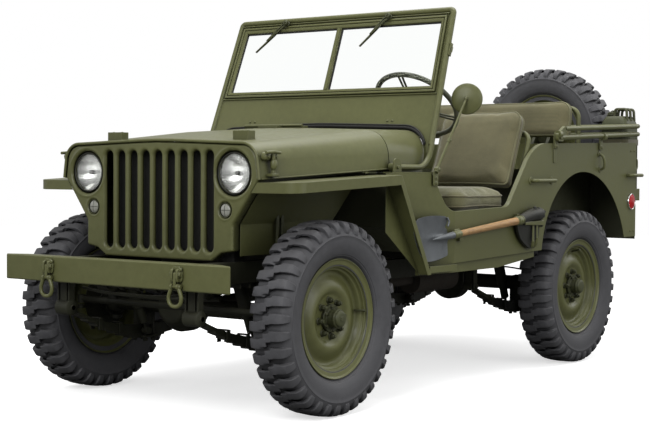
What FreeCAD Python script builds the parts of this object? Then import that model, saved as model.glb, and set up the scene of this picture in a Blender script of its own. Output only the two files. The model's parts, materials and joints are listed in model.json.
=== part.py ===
"""Open army 4x4 car, unarmed: frame, axles, springs, tub body, hood, folding windscreen and stores.

Millimetres and degrees.  +Z is up and the ground is Z = 0.  The car faces -Y and its left side
(the driver's side) is +X.  The origin is on the ground below the middle of the car's outer box.
"Aft" is a distance behind the front axle, "ahead" one in front of it.
"""

import FreeCAD, Part
import math
import os
import Sketcher

doc = FreeCAD.newDocument("army_4x4_car")
NODES = []

# ----------------------------------------------------------------------------------------------
# Driving dimensions: name, value
# ----------------------------------------------------------------------------------------------
SIZES = (
    # overall
    ("wheelbase", 2032), ("half_track", 622.5), ("nose_ahead", 573), ("spare_aft", 2800),
    ("sheet", 2), ("gap", 6), ("seat_gap", 0.3),
    # tyres and wheels
    ("tyre_radius", 380), ("tyre_width", 180), ("tread_width", 150), ("tyre_wall", 15),
    ("tread_wall", 26), ("bead_width", 110.6),
    ("rim_radius", 233), ("rim_width", 122), ("rim_wall", 5), ("rim_bead_radius", 203.5),
    ("rim_well_radius", 180), ("rim_well_width", 50), ("disc_wall", 5), ("disc_crest_radius", 125),
    ("disc_crest_out", 34), ("disc_face_radius", 92), ("disc_face_out", 20), ("hub_radius", 58),
    ("hub_out", 50), ("hub_cap_radius", 31), ("hub_cap_out", 84), ("stud_circle", 70),
    ("stud_radius", 10), ("stud_out", 40), ("drum_radius", 125), ("drum_in", 40),
    ("spindle_radius", 18),
    # frame
    ("rail_x", 345), ("rail_width", 50), ("rail_height", 84), ("rail_wall", 4),
    ("rail_ends_z", 512), ("rail_middle_z", 470), ("rail_rear_aft", 2606),
    ("kick_front_aft", 500), ("kick_low_aft", 740), ("kick_rise_aft", 1250), ("kick_rear_aft", 1500),
    ("cross_width", 60),
    # front bumper and shackles
    ("bumper_half", 597), ("bumper_ahead", 541), ("bumper_depth", 50), ("bumper_low", 503),
    ("bumper_high", 605), ("bumper_wall", 5), ("shackle_x", 345), ("shackle_pin_z", 532),
    ("shackle_wire", 8), ("shackle_half", 31), ("shackle_low_z", 458), ("lug_wall", 14),
    # springs and axles
    ("spring_width", 44), ("leaf_wall", 7), ("spring_eye_z", 396), ("spring_sag", 106),
    ("front_spring_half", 450), ("rear_spring_half", 485), ("eye_radius", 22), ("leaf_count", 8),
    ("axle_radius", 36), ("diff_radius", 105), ("front_diff_x", -110), ("rear_diff_x", -60),
    ("diff_depth", 190), ("kingpin_x", 510), ("ball_radius", 54), ("cup_wall", 9),
    ("tie_rod_ahead", 205), ("tie_rod_z", 402), ("tie_rod_radius", 14), ("arm_wall", 16),
    ("eye_rim", 3), ("tie_eye_radius", 19), ("tie_pin_radius", 7),
    # power train
    ("engine_low_z", 500), ("engine_high_z", 930), ("engine_front_aft", -120),
    ("engine_rear_aft", 355), ("engine_half", 190), ("radiator_ahead", 225), ("radiator_wall", 60),
    ("radiator_half", 290), ("radiator_low_z", 612), ("radiator_high_z", 1030),
    ("gearbox_rear_aft", 1050), ("shaft_radius", 26), ("exhaust_radius", 22),
    # tub
    ("body_half", 715), ("nose_half", 655), ("tub_front_aft", 362), ("taper_aft", 800),
    ("tub_rear_aft", 2625), ("side_front_z", 940), ("side_rear_front_z", 1082),
    ("side_rear_z", 1106), ("sill_front_z", 556), ("sill_rear_z", 580), ("tail_low_z", 610),
    ("door_front_aft", 650), ("door_front_low_aft", 756), ("door_low_z", 777),
    ("door_rear_low_z", 791), ("door_rear_aft", 1263), ("door_rear_top_aft", 1504), ("arch_front_aft", 1584),
    ("arch_rear_aft", 2488), ("arch_top_z", 950), ("arch_flat_aft", 2012), ("lip", 20),
    ("skirt_inset", 14), ("skirt_low_z", 514), ("toe_aft", 760), ("fire_aft", 458),
    ("wheel_box_x", 455), ("wheel_box_top_z", 962), ("wheel_box_front_aft", 1560),
    # cowl, hood, grille
    ("seam_aft", 447), ("cowl_half", 616), ("cowl_low_z", 946), ("cowl_top_z", 1137),
    ("cowl_rear_top_z", 1143), ("hood_front_half", 527), ("hood_front_low_z", 915),
    ("hood_front_top_z", 1071), ("crown", 18), ("front_shoulder", 75), ("rear_shoulder", 132), ("hood_lean", 18), ("grille_ahead", 285),
    ("grille_wall", 3), ("grille_flange", 42), ("grille_low_z", 598), ("grille_foot_z", 640),
    ("grille_foot_half", 392), ("grille_chin_half", 286), ("grille_waist_z", 742), ("slot_count", 9),
    ("slot_pitch", 67.7), ("slot_half", 21.5), ("slot_low_z", 633), ("slot_high_z", 1026),
    ("slot_collar", 14), ("lamp_x", 394), ("lamp_z", 938), ("lamp_radius", 76), ("lamp_depth", 100), ("lamp_opening", 88), ("lamp_recess", 12),
    ("marker_x", 356), ("marker_z", 797), ("marker_radius", 27),
    # fenders
    ("fender_ahead", 287), ("fender_tip_z", 866), ("fender_front_z", 904), ("fender_rear_z", 934),
    ("fender_rear_aft", 352), ("fender_foot_aft", 575), ("fender_foot_z", 520),
    ("fender_outer_x", 742), ("fender_lip", 40), ("fender_front_x", 701), ("fender_corner", 70), ("apron_lip", 24),
    ("apron_low_z", 620),
    # windscreen
    ("rake", 20.4), ("screen_base_aft", 716), ("screen_base_z", 1000), ("screen_low_half", 634),
    ("screen_top_half", 603), ("screen_height", 705), ("screen_tube", 13), ("glass_low", 310),
    ("glass_wall", 5), ("screen_pivot_aft", 445), ("screen_pivot_z", 966),
    ("hinge_half", 160), ("hinge_radius", 6), ("hinge_pin", 3),
    ("block_x", 342), ("block_ahead", 160), ("block_height", 34),
    # seats
    ("seat_x", 440), ("seat_half", 235), ("seat_front_aft", 905), ("seat_rear_aft", 1330),
    ("seat_top_z", 868), ("cushion", 95), ("back_top_z", 1234), ("back_wall", 75), ("back_lean", 23),
    ("rear_seat_half", 430), ("rear_back_half", 515), ("rear_back_top_z", 1322), ("rear_seat_front_aft", 1830),
    ("rear_seat_rear_aft", 2230), ("rear_seat_top_z", 900), ("seat_tube", 12),
    # steering wheel and levers
    ("steer_x", 363), ("steer_aft", 1036), ("steer_z", 1250), ("steer_rake", 48),
    ("steer_radius", 194), ("steer_rim", 12), ("column_radius", 22), ("column_length", 825),
    # top bows, stores and fittings
    ("bow_pivot_aft", 1705), ("bow_pivot_z", 1113), ("bow_radius", 12), ("bow_half", 736),
    ("bow_rear_aft", 2642), ("bow_rise", 42), ("bow_slope", 38), ("spare_x", 95),
    ("spare_z", 1146), ("can_x", 561), ("can_half", 78), ("can_front_aft", 2661), ("can_depth", 165),
    ("can_low_z", 800), ("can_high_z", 1262), ("handle_radius", 9), ("handle_out", 40),
    ("mirror_x", 714), ("mirror_aft", 905), ("mirror_z", 1264), ("mirror_radius", 68),
)


class Size:
    """A number together with the spreadsheet expression that gives it."""

    def __init__(self, value, text):
        self.value = float(value)
        self.text = text

    @staticmethod
    def of(thing):
        return thing if isinstance(thing, Size) else Size(thing, f"({float(thing)!r})")

    def join(self, other, sign, value):
        return Size(value, f"({self.text} {sign} {Size.of(other).text})")

    def __add__(self, other):
        return self.join(other, "+", self.value + Size.of(other).value)

    def __sub__(self, other):
        return self.join(other, "-", self.value - Size.of(other).value)

    def __mul__(self, other):
        return self.join(other, "*", self.value * Size.of(other).value)

    def __truediv__(self, other):
        return self.join(other, "/", self.value / Size.of(other).value)

    def __radd__(self, other):
        return Size.of(other) + self

    def __rsub__(self, other):
        return Size.of(other) - self

    def __rmul__(self, other):
        return Size.of(other) * self

    def __neg__(self):
        return 0 - self


def sine(angle):
    return Size(math.sin(math.radians(angle.value)), f"sin({angle.text})")


def cosine(angle):
    return Size(math.cos(math.radians(angle.value)), f"cos({angle.text})")


def tangent(angle):
    return Size(math.tan(math.radians(angle.value)), f"tan({angle.text})")


def slope_angle(rise, run):
    """The angle in degrees of a slope."""
    rise, run = Size.of(rise), Size.of(run)
    degrees = math.degrees(math.atan2(rise.value, run.value))
    return Size(degrees, f"(atan2({rise.text}; {run.text}) / 1deg)")


def tangent_radius(run, drop):
    """Radius of an arc that is level at one end and reaches a place run away and drop lower."""
    return (run * run + drop * drop) / (drop * 2)


def root(amount):
    amount = Size.of(amount)
    return Size(math.sqrt(amount.value), f"sqrt({amount.text})")


class Sheet:
    """The spreadsheet of driving dimensions, read as D.name."""

    def __init__(self, rows):
        self.values = dict(rows)
        self.cells = doc.addObject("Spreadsheet::Sheet", "Dims")
        for row, (name, value) in enumerate(rows, 1):
            self.cells.set(f"A{row}", name)
            self.cells.set(f"B{row}", str(value))
            self.cells.setAlias(f"B{row}", name)

    def __getattr__(self, name):
        return Size(self.values[name], f"Dims.{name}")


D = Sheet(SIZES)
doc.recompute()

TAIL_AFT = D.spare_aft + D.tyre_width / 2
FRONT = (D.nose_ahead - TAIL_AFT) / 2
FLOOR_Z = D.rail_ends_z + D.rail_height + D.seat_gap
BEAD_RADIUS = D.rim_bead_radius + D.seat_gap
HINGE_Z = D.cowl_top_z + D.hinge_radius * 1.2
SEAM_SHOULDER = (D.front_shoulder + D.rear_shoulder * 2) / 3
RAIL_AHEAD = D.bumper_ahead - D.bumper_wall - D.seat_gap
ZERO = Size.of(0)


def aft(distance):
    """The Y of a place that lies this far behind the front axle."""
    return FRONT + distance


# ----------------------------------------------------------------------------------------------
# Tools: bound sketches, features and primitives
# ----------------------------------------------------------------------------------------------
def bind(thing, path, amount):
    thing.setExpression(path, Size.of(amount).text)


def fresh(kind, name):
    return doc.addObject(kind, name)


def origin_plane(body, role):
    return next(item for item in body.Origin.OriginFeatures if item.Role == role)


def corner(a, b, bend=None, arc=None):
    """A sketch point: rounded by bend, or the start of an arc of radius arc (minus: clockwise)."""
    return Size.of(a), Size.of(b), bend, arc


def unit(start, end):
    return (end - start).normalize()


def arc_between(start, end, radius):
    """The circular arc from start to end, counterclockwise if the radius is positive."""
    chord = end - start
    lift = math.sqrt(max(radius * radius - chord.Length ** 2 / 4, 0))
    across = FreeCAD.Vector(-chord.y, chord.x, 0).normalize()
    centre = (start + end) * 0.5 + across * (lift if radius > 0 else -lift)
    first, last = (start, end) if radius > 0 else (end, start)
    circle = Part.Circle(centre, FreeCAD.Vector(0, 0, 1), abs(radius))
    return Part.ArcOfCircle(circle, circle.parameter(first), circle.parameter(last))


def draw(body, name, role, shift, loops, closed=True):
    """A fully constrained sketch on one of the body's own planes, moved along its normal."""
    sketch = body.newObject("Sketcher::SketchObject", name)
    sketch.AttachmentSupport = [(origin_plane(body, role), "")]
    sketch.MapMode = "FlatFace"
    bind(sketch, "AttachmentOffset.Base.z", shift)
    for loop in loops:
        if isinstance(loop, Round):
            draw_circle(sketch, loop)
        else:
            draw_loop(sketch, [corner(*point) for point in loop], closed)
    return sketch


class Round:
    """A full circle in a sketch."""

    def __init__(self, a, b, radius):
        self.a, self.b, self.radius = Size.of(a), Size.of(b), Size.of(radius)


class Rules:
    """Collects a sketch's constraints, adds them together and binds their values."""

    def __init__(self, sketch):
        self.sketch, self.rules, self.amounts = sketch, [], []

    def add(self, kind, *args, amount=None):
        values = () if amount is None else (amount.value,)
        self.rules.append(Sketcher.Constraint(kind, *args, *values))
        self.amounts.append(amount)

    def pin(self, shape, point, a, b):
        """Ties a point of the sketch to its two coordinates."""
        self.add("DistanceX", shape, point, amount=a)
        self.add("DistanceY", shape, point, amount=b)

    def apply(self):
        start = self.sketch.ConstraintCount
        self.sketch.addConstraint(self.rules)
        for index, amount in enumerate(self.amounts, start):
            if amount is not None:
                bind(self.sketch, f"Constraints[{index}]", amount)


def draw_circle(sketch, loop):
    centre = FreeCAD.Vector(loop.a.value, loop.b.value, 0)
    circle = Part.Circle(centre, FreeCAD.Vector(0, 0, 1), loop.radius.value)
    index = sketch.addGeometry(circle, False)
    rules = Rules(sketch)
    rules.pin(index, 3, loop.a, loop.b)
    rules.add("Radius", index, amount=loop.radius)
    rules.apply()


def draw_loop(sketch, points, closed):
    """Draws the lines and arcs through the points, with its bends as tangent arcs."""
    places = [FreeCAD.Vector(a.value, b.value, 0) for a, b, bend, arc in points]
    count = len(points)
    into, out = list(places), list(places)
    for i, (a, b, bend, arc) in enumerate(points):
        if bend is not None:
            here, before, after = places[i], places[i - 1], places[(i + 1) % count]
            back, ahead = unit(here, before), unit(here, after)
            reach = Size.of(bend).value / math.tan(back.getAngle(ahead) / 2)
            into[i], out[i] = here + back * reach, here + ahead * reach
    rules = Rules(sketch)
    edges = []
    for i in range(count if closed else count - 1):
        after = (i + 1) % count
        arc = points[i][3]
        if arc is None:
            edges.append(sketch.addGeometry(Part.LineSegment(out[i], into[after]), False))
        else:
            radius = Size.of(arc)
            edges.append(sketch.addGeometry(arc_between(out[i], into[after], radius.value), False))
            rules.add("Radius", edges[-1], amount=radius if radius.value > 0 else -radius)
    for i, (a, b, bend, arc) in enumerate(points):
        if not closed and i == 0:
            rules.pin(edges[0], ends(points[0])[0], a, b)
            continue
        last, leave = edges[i - 1], ends(points[i - 1])[1]
        if not closed and i == count - 1:
            rules.pin(last, leave, a, b)
            continue
        first, enter = edges[i], ends(points[i])[0]
        if bend is None:
            rules.add("Coincident", last, leave, first, enter)
            rules.pin(first, enter, a, b)
            continue
        turn = (places[i] - places[i - 1]).cross(places[(i + 1) % count] - places[i]).z
        radius = Size.of(bend)
        curve = sketch.addGeometry(arc_between(into[i], out[i], math.copysign(radius.value, turn)), False)
        start, end = (1, 2) if turn > 0 else (2, 1)
        point = sketch.addGeometry(Part.Point(places[i]), True)
        rules.add("Tangent", last, leave, curve, start)
        rules.add("Tangent", first, enter, curve, end)
        rules.add("PointOnObject", point, 1, last)
        rules.add("PointOnObject", point, 1, first)
        rules.add("Radius", curve, amount=radius)
        rules.pin(point, 1, a, b)
    rules.apply()


def ends(point):
    """Which ends of an edge come first and last: an arc drawn clockwise is kept backwards."""
    arc = point[3]
    return (2, 1) if arc is not None and Size.of(arc).value < 0 else (1, 2)


def count_up(body, kind):
    return f"{body.Name}_{kind}{len(body.Group)}"


def start_body(name):
    return fresh("PartDesign::Body", name)


def span(role, low, high):
    """Sketch shift and length that fill from low to high along the plane's world axis."""
    return (-high if role == "XZ_Plane" else low), high - low


def pad(body, role, low, high, *loops):
    """Adds the loops as a slab from low to high."""
    shift, length = span(role, Size.of(low), Size.of(high))
    feature = body.newObject("PartDesign::Pad", count_up(body, "pad"))
    feature.Profile = draw(body, count_up(body, "sketch"), role, shift, loops)
    bind(feature, "Length", length)
    return body


def pocket(body, role, low, high, *loops):
    """Cuts the loops out from low to high."""
    shift, length = span(role, Size.of(low), Size.of(high))
    feature = body.newObject("PartDesign::Pocket", count_up(body, "pocket"))
    feature.Profile = draw(body, count_up(body, "sketch"), role, shift, loops)
    feature.Reversed = True
    bind(feature, "Length", length)
    return body


def revolve(body, role, axis, loop, shift=0, cut=False):
    """Turns the loop about the sketch's H_Axis or V_Axis."""
    kind = "Groove" if cut else "Revolution"
    feature = body.newObject(f"PartDesign::{kind}", count_up(body, kind))
    sketch = draw(body, count_up(body, "sketch"), role, shift, [loop])
    feature.Profile = sketch
    feature.ReferenceAxis = (sketch, [axis])
    feature.Angle = 360
    return body


def sweep(body, role, shift, route, section):
    """Sweeps the section's loops along an open route of straight runs and tangent bends."""
    path = draw(body, count_up(body, "route"), role, shift, [route], closed=False)
    doc.recompute([path])
    profile = body.newObject("Sketcher::SketchObject", count_up(body, "section"))
    profile.AttachmentSupport = [(path, "Edge1")]
    profile.MapMode = "NormalToEdge"
    for loop in section:
        if isinstance(loop, Round):
            draw_circle(profile, loop)
        else:
            draw_loop(profile, [corner(*point) for point in loop], True)
    feature = body.newObject("PartDesign::AdditivePipe", count_up(body, "pipe"))
    feature.Profile = profile
    feature.Spine = (path, [f"Edge{n + 1}" for n in range(len(path.Shape.Edges))])
    feature.Transition = "Right corner"
    return body


def tube(name, role, shift, route, radius):
    """A round bar or tube bent along a route."""
    return sweep(start_body(name), role, shift, route, [Round(0, 0, radius)])


def loft(body, sections, cut=False):
    """Joins section loops on parallel planes by ruled faces."""
    kind = "SubtractiveLoft" if cut else "AdditiveLoft"
    sketches = []
    for role, shift, loop in sections:
        sketches.append(draw(body, count_up(body, "sketch"), role, shift, [loop]))
    feature = body.newObject(f"PartDesign::{kind}", count_up(body, kind))
    feature.Profile = sketches[0]
    feature.Sections = sketches[1:]
    feature.Ruled = True
    return body


def soften(body, radius, choose):
    """Fillets the body's edges that choose picks out."""
    doc.recompute()
    names = [f"Edge{n + 1}" for n, edge in enumerate(body.Shape.Edges) if choose(edge)]
    feature = body.newObject("PartDesign::Fillet", count_up(body, "fillet"))
    feature.Base = (body.Tip, names)
    bind(feature, "Radius", radius)
    return body


def repeat(body, features, pitch, count):
    """Repeats the last pad and pocket along +X."""
    doc.recompute()
    pattern = body.newObject("PartDesign::LinearPattern", count_up(body, "pattern"))
    pattern.Originals = [item for item in features if not item.isDerivedFrom("Sketcher::SketchObject")]
    pattern.Direction = (pattern.Originals[0].Profile[0], ["H_Axis"])
    bind(pattern, "Length", pitch * (count - 1))
    bind(pattern, "Occurrences", count)
    body.Tip = pattern
    return body


def box(name, x, y, z):
    """A block between pairs of X, Y and Z."""
    piece = fresh("Part::Box", name)
    sides = (("Length", x, "x"), ("Width", y, "y"), ("Height", z, "z"))
    for path, (low, high), axis in sides:
        bind(piece, path, Size.of(high) - Size.of(low))
        bind(piece, f"Placement.Base.{axis}", low)
    return piece


TURNS = {"X": (FreeCAD.Vector(0, 1, 0), 90), "Y": (FreeCAD.Vector(1, 0, 0), -90),
         "Z": (FreeCAD.Vector(0, 0, 1), 0)}


def place(piece, x, y, z, axis=(0, 0, 1), angle=0):
    """Puts a piece at x, y, z, turned about an axis by a bound angle."""
    turn = Size.of(angle)
    rotation = FreeCAD.Rotation(FreeCAD.Vector(*axis), turn.value)
    piece.Placement = FreeCAD.Placement(FreeCAD.Vector(), rotation)
    for part, amount in (("x", x), ("y", y), ("z", z)):
        bind(piece, f"Placement.Base.{part}", amount)
    if isinstance(angle, Size):
        bind(piece, "Placement.Rotation.Angle", turn)
    return piece


def rod(name, axis, x, y, z, length, radius):
    """A cylinder that starts at x, y, z and runs along +X, +Y or +Z."""
    piece = fresh("Part::Cylinder", name)
    bind(piece, "Radius", radius)
    bind(piece, "Height", length)
    turn, angle = TURNS[axis]
    return place(piece, x, y, z, tuple(turn), angle)


def ball(name, x, y, z, radius):
    piece = fresh("Part::Sphere", name)
    bind(piece, "Radius", radius)
    return place(piece, x, y, z)


def cut(name, base, tool):
    piece = fresh("Part::Cut", name)
    piece.Base, piece.Tool = base, tool
    return piece


def common(name, first, second):
    piece = fresh("Part::Common", name)
    piece.Base, piece.Tool = first, second
    return piece


def fuse(name, pieces):
    piece = fresh("Part::MultiFuse", name)
    piece.Shapes = list(pieces)
    piece.Refine = True
    return piece


def mirrored(name, source):
    """The right-hand copy of a left-hand piece."""
    piece = fresh("Part::Mirroring", name)
    piece.Source = source
    piece.Normal = (1, 0, 0)
    return piece


def both(name, source):
    """A left-hand piece and its right-hand copy."""
    return [source, mirrored(name, source)]


def node(label, *pieces):
    """Names a finished sub-part, joining its pieces into one object."""
    piece = pieces[0] if len(pieces) == 1 else fuse(label, pieces)
    piece.Label = label
    NODES.append(piece)
    return piece


def rectangle(left, right, low, high, bend=None):
    return [(left, low, bend), (right, low, bend), (right, high, bend), (left, high, bend)]


# ----------------------------------------------------------------------------------------------
# Frame, bumper and running gear
# ----------------------------------------------------------------------------------------------
def rail_outline(inset):
    """Side view of a frame rail: level ends and a lower middle, shrunk by the channel's wall."""
    stations = (
        # aft, height of the lower edge
        (-RAIL_AHEAD, D.rail_ends_z),
        (D.kick_front_aft, D.rail_ends_z),
        (D.kick_low_aft, D.rail_middle_z),
        (D.kick_rise_aft, D.rail_middle_z),
        (D.kick_rear_aft, D.rail_ends_z),
        (D.rail_rear_aft, D.rail_ends_z),
    )
    low = [(aft(y), z + inset) for y, z in stations]
    high = [(aft(y), z + D.rail_height - inset) for y, z in reversed(stations)]
    return low + high


def chassis_frame():
    """Two channel rails, open inwards, with the cross members between them."""
    rail = start_body("rail")
    outer_face, inner_face = D.rail_x + D.rail_width / 2, D.rail_x - D.rail_width / 2
    pad(rail, "YZ_Plane", inner_face, outer_face, rail_outline(ZERO))
    pocket(rail, "YZ_Plane", inner_face, outer_face - D.rail_wall, rail_outline(D.rail_wall))
    members = (
        # aft, lower edge, height
        (-RAIL_AHEAD + 20, D.rail_ends_z, 60),
        (D.engine_front_aft - 85, D.rail_ends_z - 20, 60),
        (D.gearbox_rear_aft + 30, D.rail_middle_z, 60),
        (D.kick_rear_aft + 10, D.rail_ends_z, D.rail_height),
        (D.rail_rear_aft - D.cross_width, D.rail_ends_z, D.rail_height),
    )
    beams = []
    reach = outer_face - D.rail_wall
    for number, (y, z, tall) in enumerate(members):
        beam = start_body(f"cross_member_{number}")
        outline = rectangle(aft(y), aft(y + D.cross_width), z, z + tall)
        pad(beam, "YZ_Plane", -reach, reach, outline)
        wall = D.rail_wall
        inside = rectangle(aft(y + wall), aft(y + D.cross_width - wall), z - 1, z + tall - wall)
        pocket(beam, "YZ_Plane", -reach, reach, inside)
        beams.append(beam)
    node("chassis_frame", *both("right_rail", rail), *beams)


def front_bumper():
    """A pressed channel, open to the rear and at its ends, held to the frame horns."""
    body = start_body("bumper")
    face, back = aft(-D.bumper_ahead), aft(D.bumper_depth - D.bumper_ahead)
    wall = D.bumper_wall
    pad(body, "XZ_Plane", face, back, rectangle(-D.bumper_half, D.bumper_half, D.bumper_low, D.bumper_high))
    inside = rectangle(-D.bumper_half - 1, D.bumper_half + 1, D.bumper_low + wall, D.bumper_high - wall)
    pocket(body, "XZ_Plane", face + wall, back, inside)
    node("front_bumper", body)


def tow_shackles():
    """On each horn a lug through the bumper's face, a pin and a hanging bow."""
    lug = start_body("shackle_lug")
    face = aft(-D.bumper_ahead)
    tip = D.shackle_wire * 3
    outline = [(face, D.shackle_pin_z - 16), (face, D.shackle_pin_z + 58),
               (face - tip, D.shackle_pin_z + 48, 14), (face - tip, D.shackle_pin_z - 14, 12)]
    pad(lug, "YZ_Plane", D.shackle_x - D.lug_wall / 2, D.shackle_x + D.lug_wall / 2, outline)
    y = face - tip / 2 - 2
    half = D.shackle_half
    bolt = rod("shackle_pin", "X", D.shackle_x - half - 12, y, D.shackle_pin_z, half * 2 + 24,
               D.shackle_wire - 1)
    bow = tube("shackle_bow", "XZ_Plane", -y, [
        (D.shackle_x - half, D.shackle_pin_z + 8), (D.shackle_x - half, D.shackle_low_z, half - 1),
        (D.shackle_x + half, D.shackle_low_z, half - 1), (D.shackle_x + half, D.shackle_pin_z + 8),
    ], D.shackle_wire)
    left = fuse("left_shackle", [lug, bolt, bow])
    node("tow_shackles", *both("right_shackle", left))


def leaf_pack(name, middle_aft, half):
    """A semi-elliptic spring: leaves on one circle, each shorter than the one above."""
    eye, sag, wall = D.spring_eye_z, D.spring_sag, D.leaf_wall
    radius = (half * half + sag * sag) / (2 * sag)
    leaves = int(D.leaf_count.value)
    body = start_body(name)
    left, right = D.rail_x - D.spring_width / 2, D.rail_x + D.spring_width / 2
    for n in range(leaves):
        reach = half * (1 - 0.11 * n)
        curve = radius + wall * n
        drop = curve - root(curve * curve - reach * reach)
        low_drop = (curve + wall) - root((curve + wall) * (curve + wall) - reach * reach)
        low = eye - sag - wall * n
        y0, y1 = aft(middle_aft - reach), aft(middle_aft + reach)
        pad(body, "YZ_Plane", left, right, [
            (y0, low - wall + low_drop, None, curve + wall), (y1, low - wall + low_drop),
            (y1, low + drop, None, -curve), (y0, low + drop),
        ])
    pieces = [body]
    for side in (-1, 1):
        y = aft(middle_aft + half * side)
        pieces.append(rod(f"{name}_eye{side}", "X", left, y, eye - wall / 2, D.spring_width,
                          D.eye_radius))
        height = D.rail_ends_z - eye + wall / 2 - D.seat_gap
        pieces.append(box(f"{name}_hanger{side}", (left + 4, right - 4), (y - 14, y + 14),
                          (eye - wall / 2, eye - wall / 2 + height)))
    return fuse(f"{name}_pack", pieces)


def leaf_springs():
    front = leaf_pack("front_spring", ZERO, D.front_spring_half)
    rear = leaf_pack("rear_spring", D.wheelbase, D.rear_spring_half)
    node("leaf_springs", *both("right_front_spring", front), *both("right_rear_spring", rear))


def diff_case(name, axle_y, x, nose):
    """The round differential case with its cover and the nose that takes the propeller shaft."""
    body = start_body(name)
    half, radius = D.diff_depth / 2, D.diff_radius
    profile = [(axle_y - half, ZERO), (axle_y + half, ZERO), (axle_y + half, radius * 0.62, 20),
               (axle_y + half * 0.35, radius, 30), (axle_y - half * 0.35, radius, 30),
               (axle_y - half, radius * 0.62, 20)]
    revolve(body, "YZ_Plane", "H_Axis", profile)
    place(body, x, 0, D.tyre_radius)
    start = axle_y if nose.value > 0 else axle_y + nose
    pinion = rod(f"{name}_nose", "Y", x, start, D.tyre_radius, nose if nose.value > 0 else -nose, 48)
    return [body, pinion]


def front_axle():
    """Tube axle with its case to the right and a ball at each end for the steering knuckles."""
    y, reach = aft(0), D.kingpin_x
    pieces = [rod("front_axle_tube", "X", -reach, y, D.tyre_radius, reach * 2, D.axle_radius)]
    pieces += diff_case("front_diff", y, D.front_diff_x, Size.of(190))
    for side in (-1, 1):
        pieces.append(ball(f"axle_ball{side}", reach * side, y, D.tyre_radius, D.ball_radius))
    pieces += spring_seats("front_seat", y)
    node("front_axle", *pieces)


def spring_seats(name, y):
    """The pads and U-bolt plates that clamp the springs under an axle tube."""
    left, right = D.rail_x - D.spring_width / 2 - 12, D.rail_x + D.spring_width / 2 + 12
    top = D.spring_eye_z - D.spring_sag + D.seat_gap * 2
    pad_piece = box(name, (left, right), (y - 30, y + 30), (top, D.tyre_radius))
    return both(f"{name}_right", pad_piece)


def rear_axle():
    """Tube axle with its case, ending in the brake backing plates and spindles."""
    y = aft(D.wheelbase)
    face = D.half_track - D.drum_in - 10
    pieces = [rod("rear_axle_tube", "X", -face, y, D.tyre_radius, face * 2, D.axle_radius)]
    pieces += diff_case("rear_diff", y, D.rear_diff_x, Size.of(-190))
    plate = rod("backing_plate", "X", face, y, D.tyre_radius, 5, D.drum_radius - 2)
    spindle = rod("rear_spindle", "X", face, y, D.tyre_radius, 45, D.spindle_radius)
    side = fuse("rear_axle_end", [plate, spindle])
    node("rear_axle", *pieces, *both("rear_axle_end_right", side), *spring_seats("rear_seat", y))


def knuckle(name, side):
    """A cup over the axle's ball with kingpin caps, brake plate, spindle and steering arm."""
    y, x = aft(0), D.kingpin_x
    inner, outer = D.ball_radius + D.seat_gap, D.ball_radius + D.cup_wall
    shell = cut(f"{name}_cup", ball(f"{name}_outer", x, y, D.tyre_radius, outer),
                ball(f"{name}_inner", x, y, D.tyre_radius, inner))
    half = box(f"{name}_half", (x + 6, x + outer + 1), (y - outer - 1, y + outer + 1),
               (D.tyre_radius - outer - 1, D.tyre_radius + outer + 1))
    cup = common(f"{name}_half_cup", shell, half)
    face = D.half_track - D.drum_in - 10
    plate = rod(f"{name}_plate", "X", face, y, D.tyre_radius, 5, D.drum_radius - 2)
    neck = rod(f"{name}_neck", "X", x + outer - 8, y, D.tyre_radius, face - x - outer + 9, 40)
    spindle = rod(f"{name}_spindle", "X", face, y, D.tyre_radius, 45, D.spindle_radius)
    caps = []
    for end in (-1, 1):
        low = D.tyre_radius + (outer - 3 if end > 0 else -outer - 13)
        caps.append(rod(f"{name}_cap{end}", "Z", x, y, low, 16, 26))
        caps.append(box(f"{name}_ear{end}", (x, x + 40), (y - 20, y + 20),
                        (low + (1 if end > 0 else 5), low + (11 if end > 0 else 15))))
    arm = start_body(f"{name}_arm")
    tip = aft(-D.tie_rod_ahead)
    low = D.tie_rod_z - D.tie_rod_radius - D.eye_rim - D.gap - D.arm_wall
    pad(arm, "XY_Plane", low, low + D.arm_wall, [
        (x - 15, tip - 18, 14), (x + 15, tip - 18, 14), (x + 15, tip + 80), (x + 62, y - 34),
        (x + 62, y + 8), (x + 24, y + 8), (x + 14, y - 46), (x - 15, tip + 90)])
    arm_clear = cut(f"{name}_arm_clear", arm, ball(f"{name}_arm_ball", x, y, D.tyre_radius, inner))
    pieces = [cup, plate, neck, spindle, arm_clear, *caps]
    if side > 0:
        height = D.arm_wall + D.gap + (D.tie_rod_radius + D.eye_rim) * 2 + 4
        pieces.append(rod(f"{name}_pin", "Z", x, tip, low, height, D.tie_pin_radius))
    whole = fuse(f"{name}_whole", pieces)
    if side > 0:
        node(name, whole)
    else:
        node(name, mirrored(f"{name}_mirror", whole))


def tie_rod():
    """The rod ahead of the axle: an eye over the left arm's pin and a plain end over the right."""
    tip, reach = aft(-D.tie_rod_ahead), D.kingpin_x
    bar = rod("tie_bar", "X", -reach, tip, D.tie_rod_z, reach * 2, D.tie_rod_radius)
    half = D.tie_rod_radius + D.eye_rim
    eyes = [rod(f"tie_eye{side}", "Z", reach * side, tip, D.tie_rod_z - half, half * 2, D.tie_eye_radius)
            for side in (-1, 1)]
    solid = fuse("tie_rod_solid", [bar, *eyes])
    bore = D.tie_pin_radius + D.seat_gap
    hole = rod("tie_rod_hole", "Z", reach, tip, D.tie_rod_z - half - 1, half * 2 + 2, bore)
    node("tie_rod", cut("tie_rod_bored", solid, hole))


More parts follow.
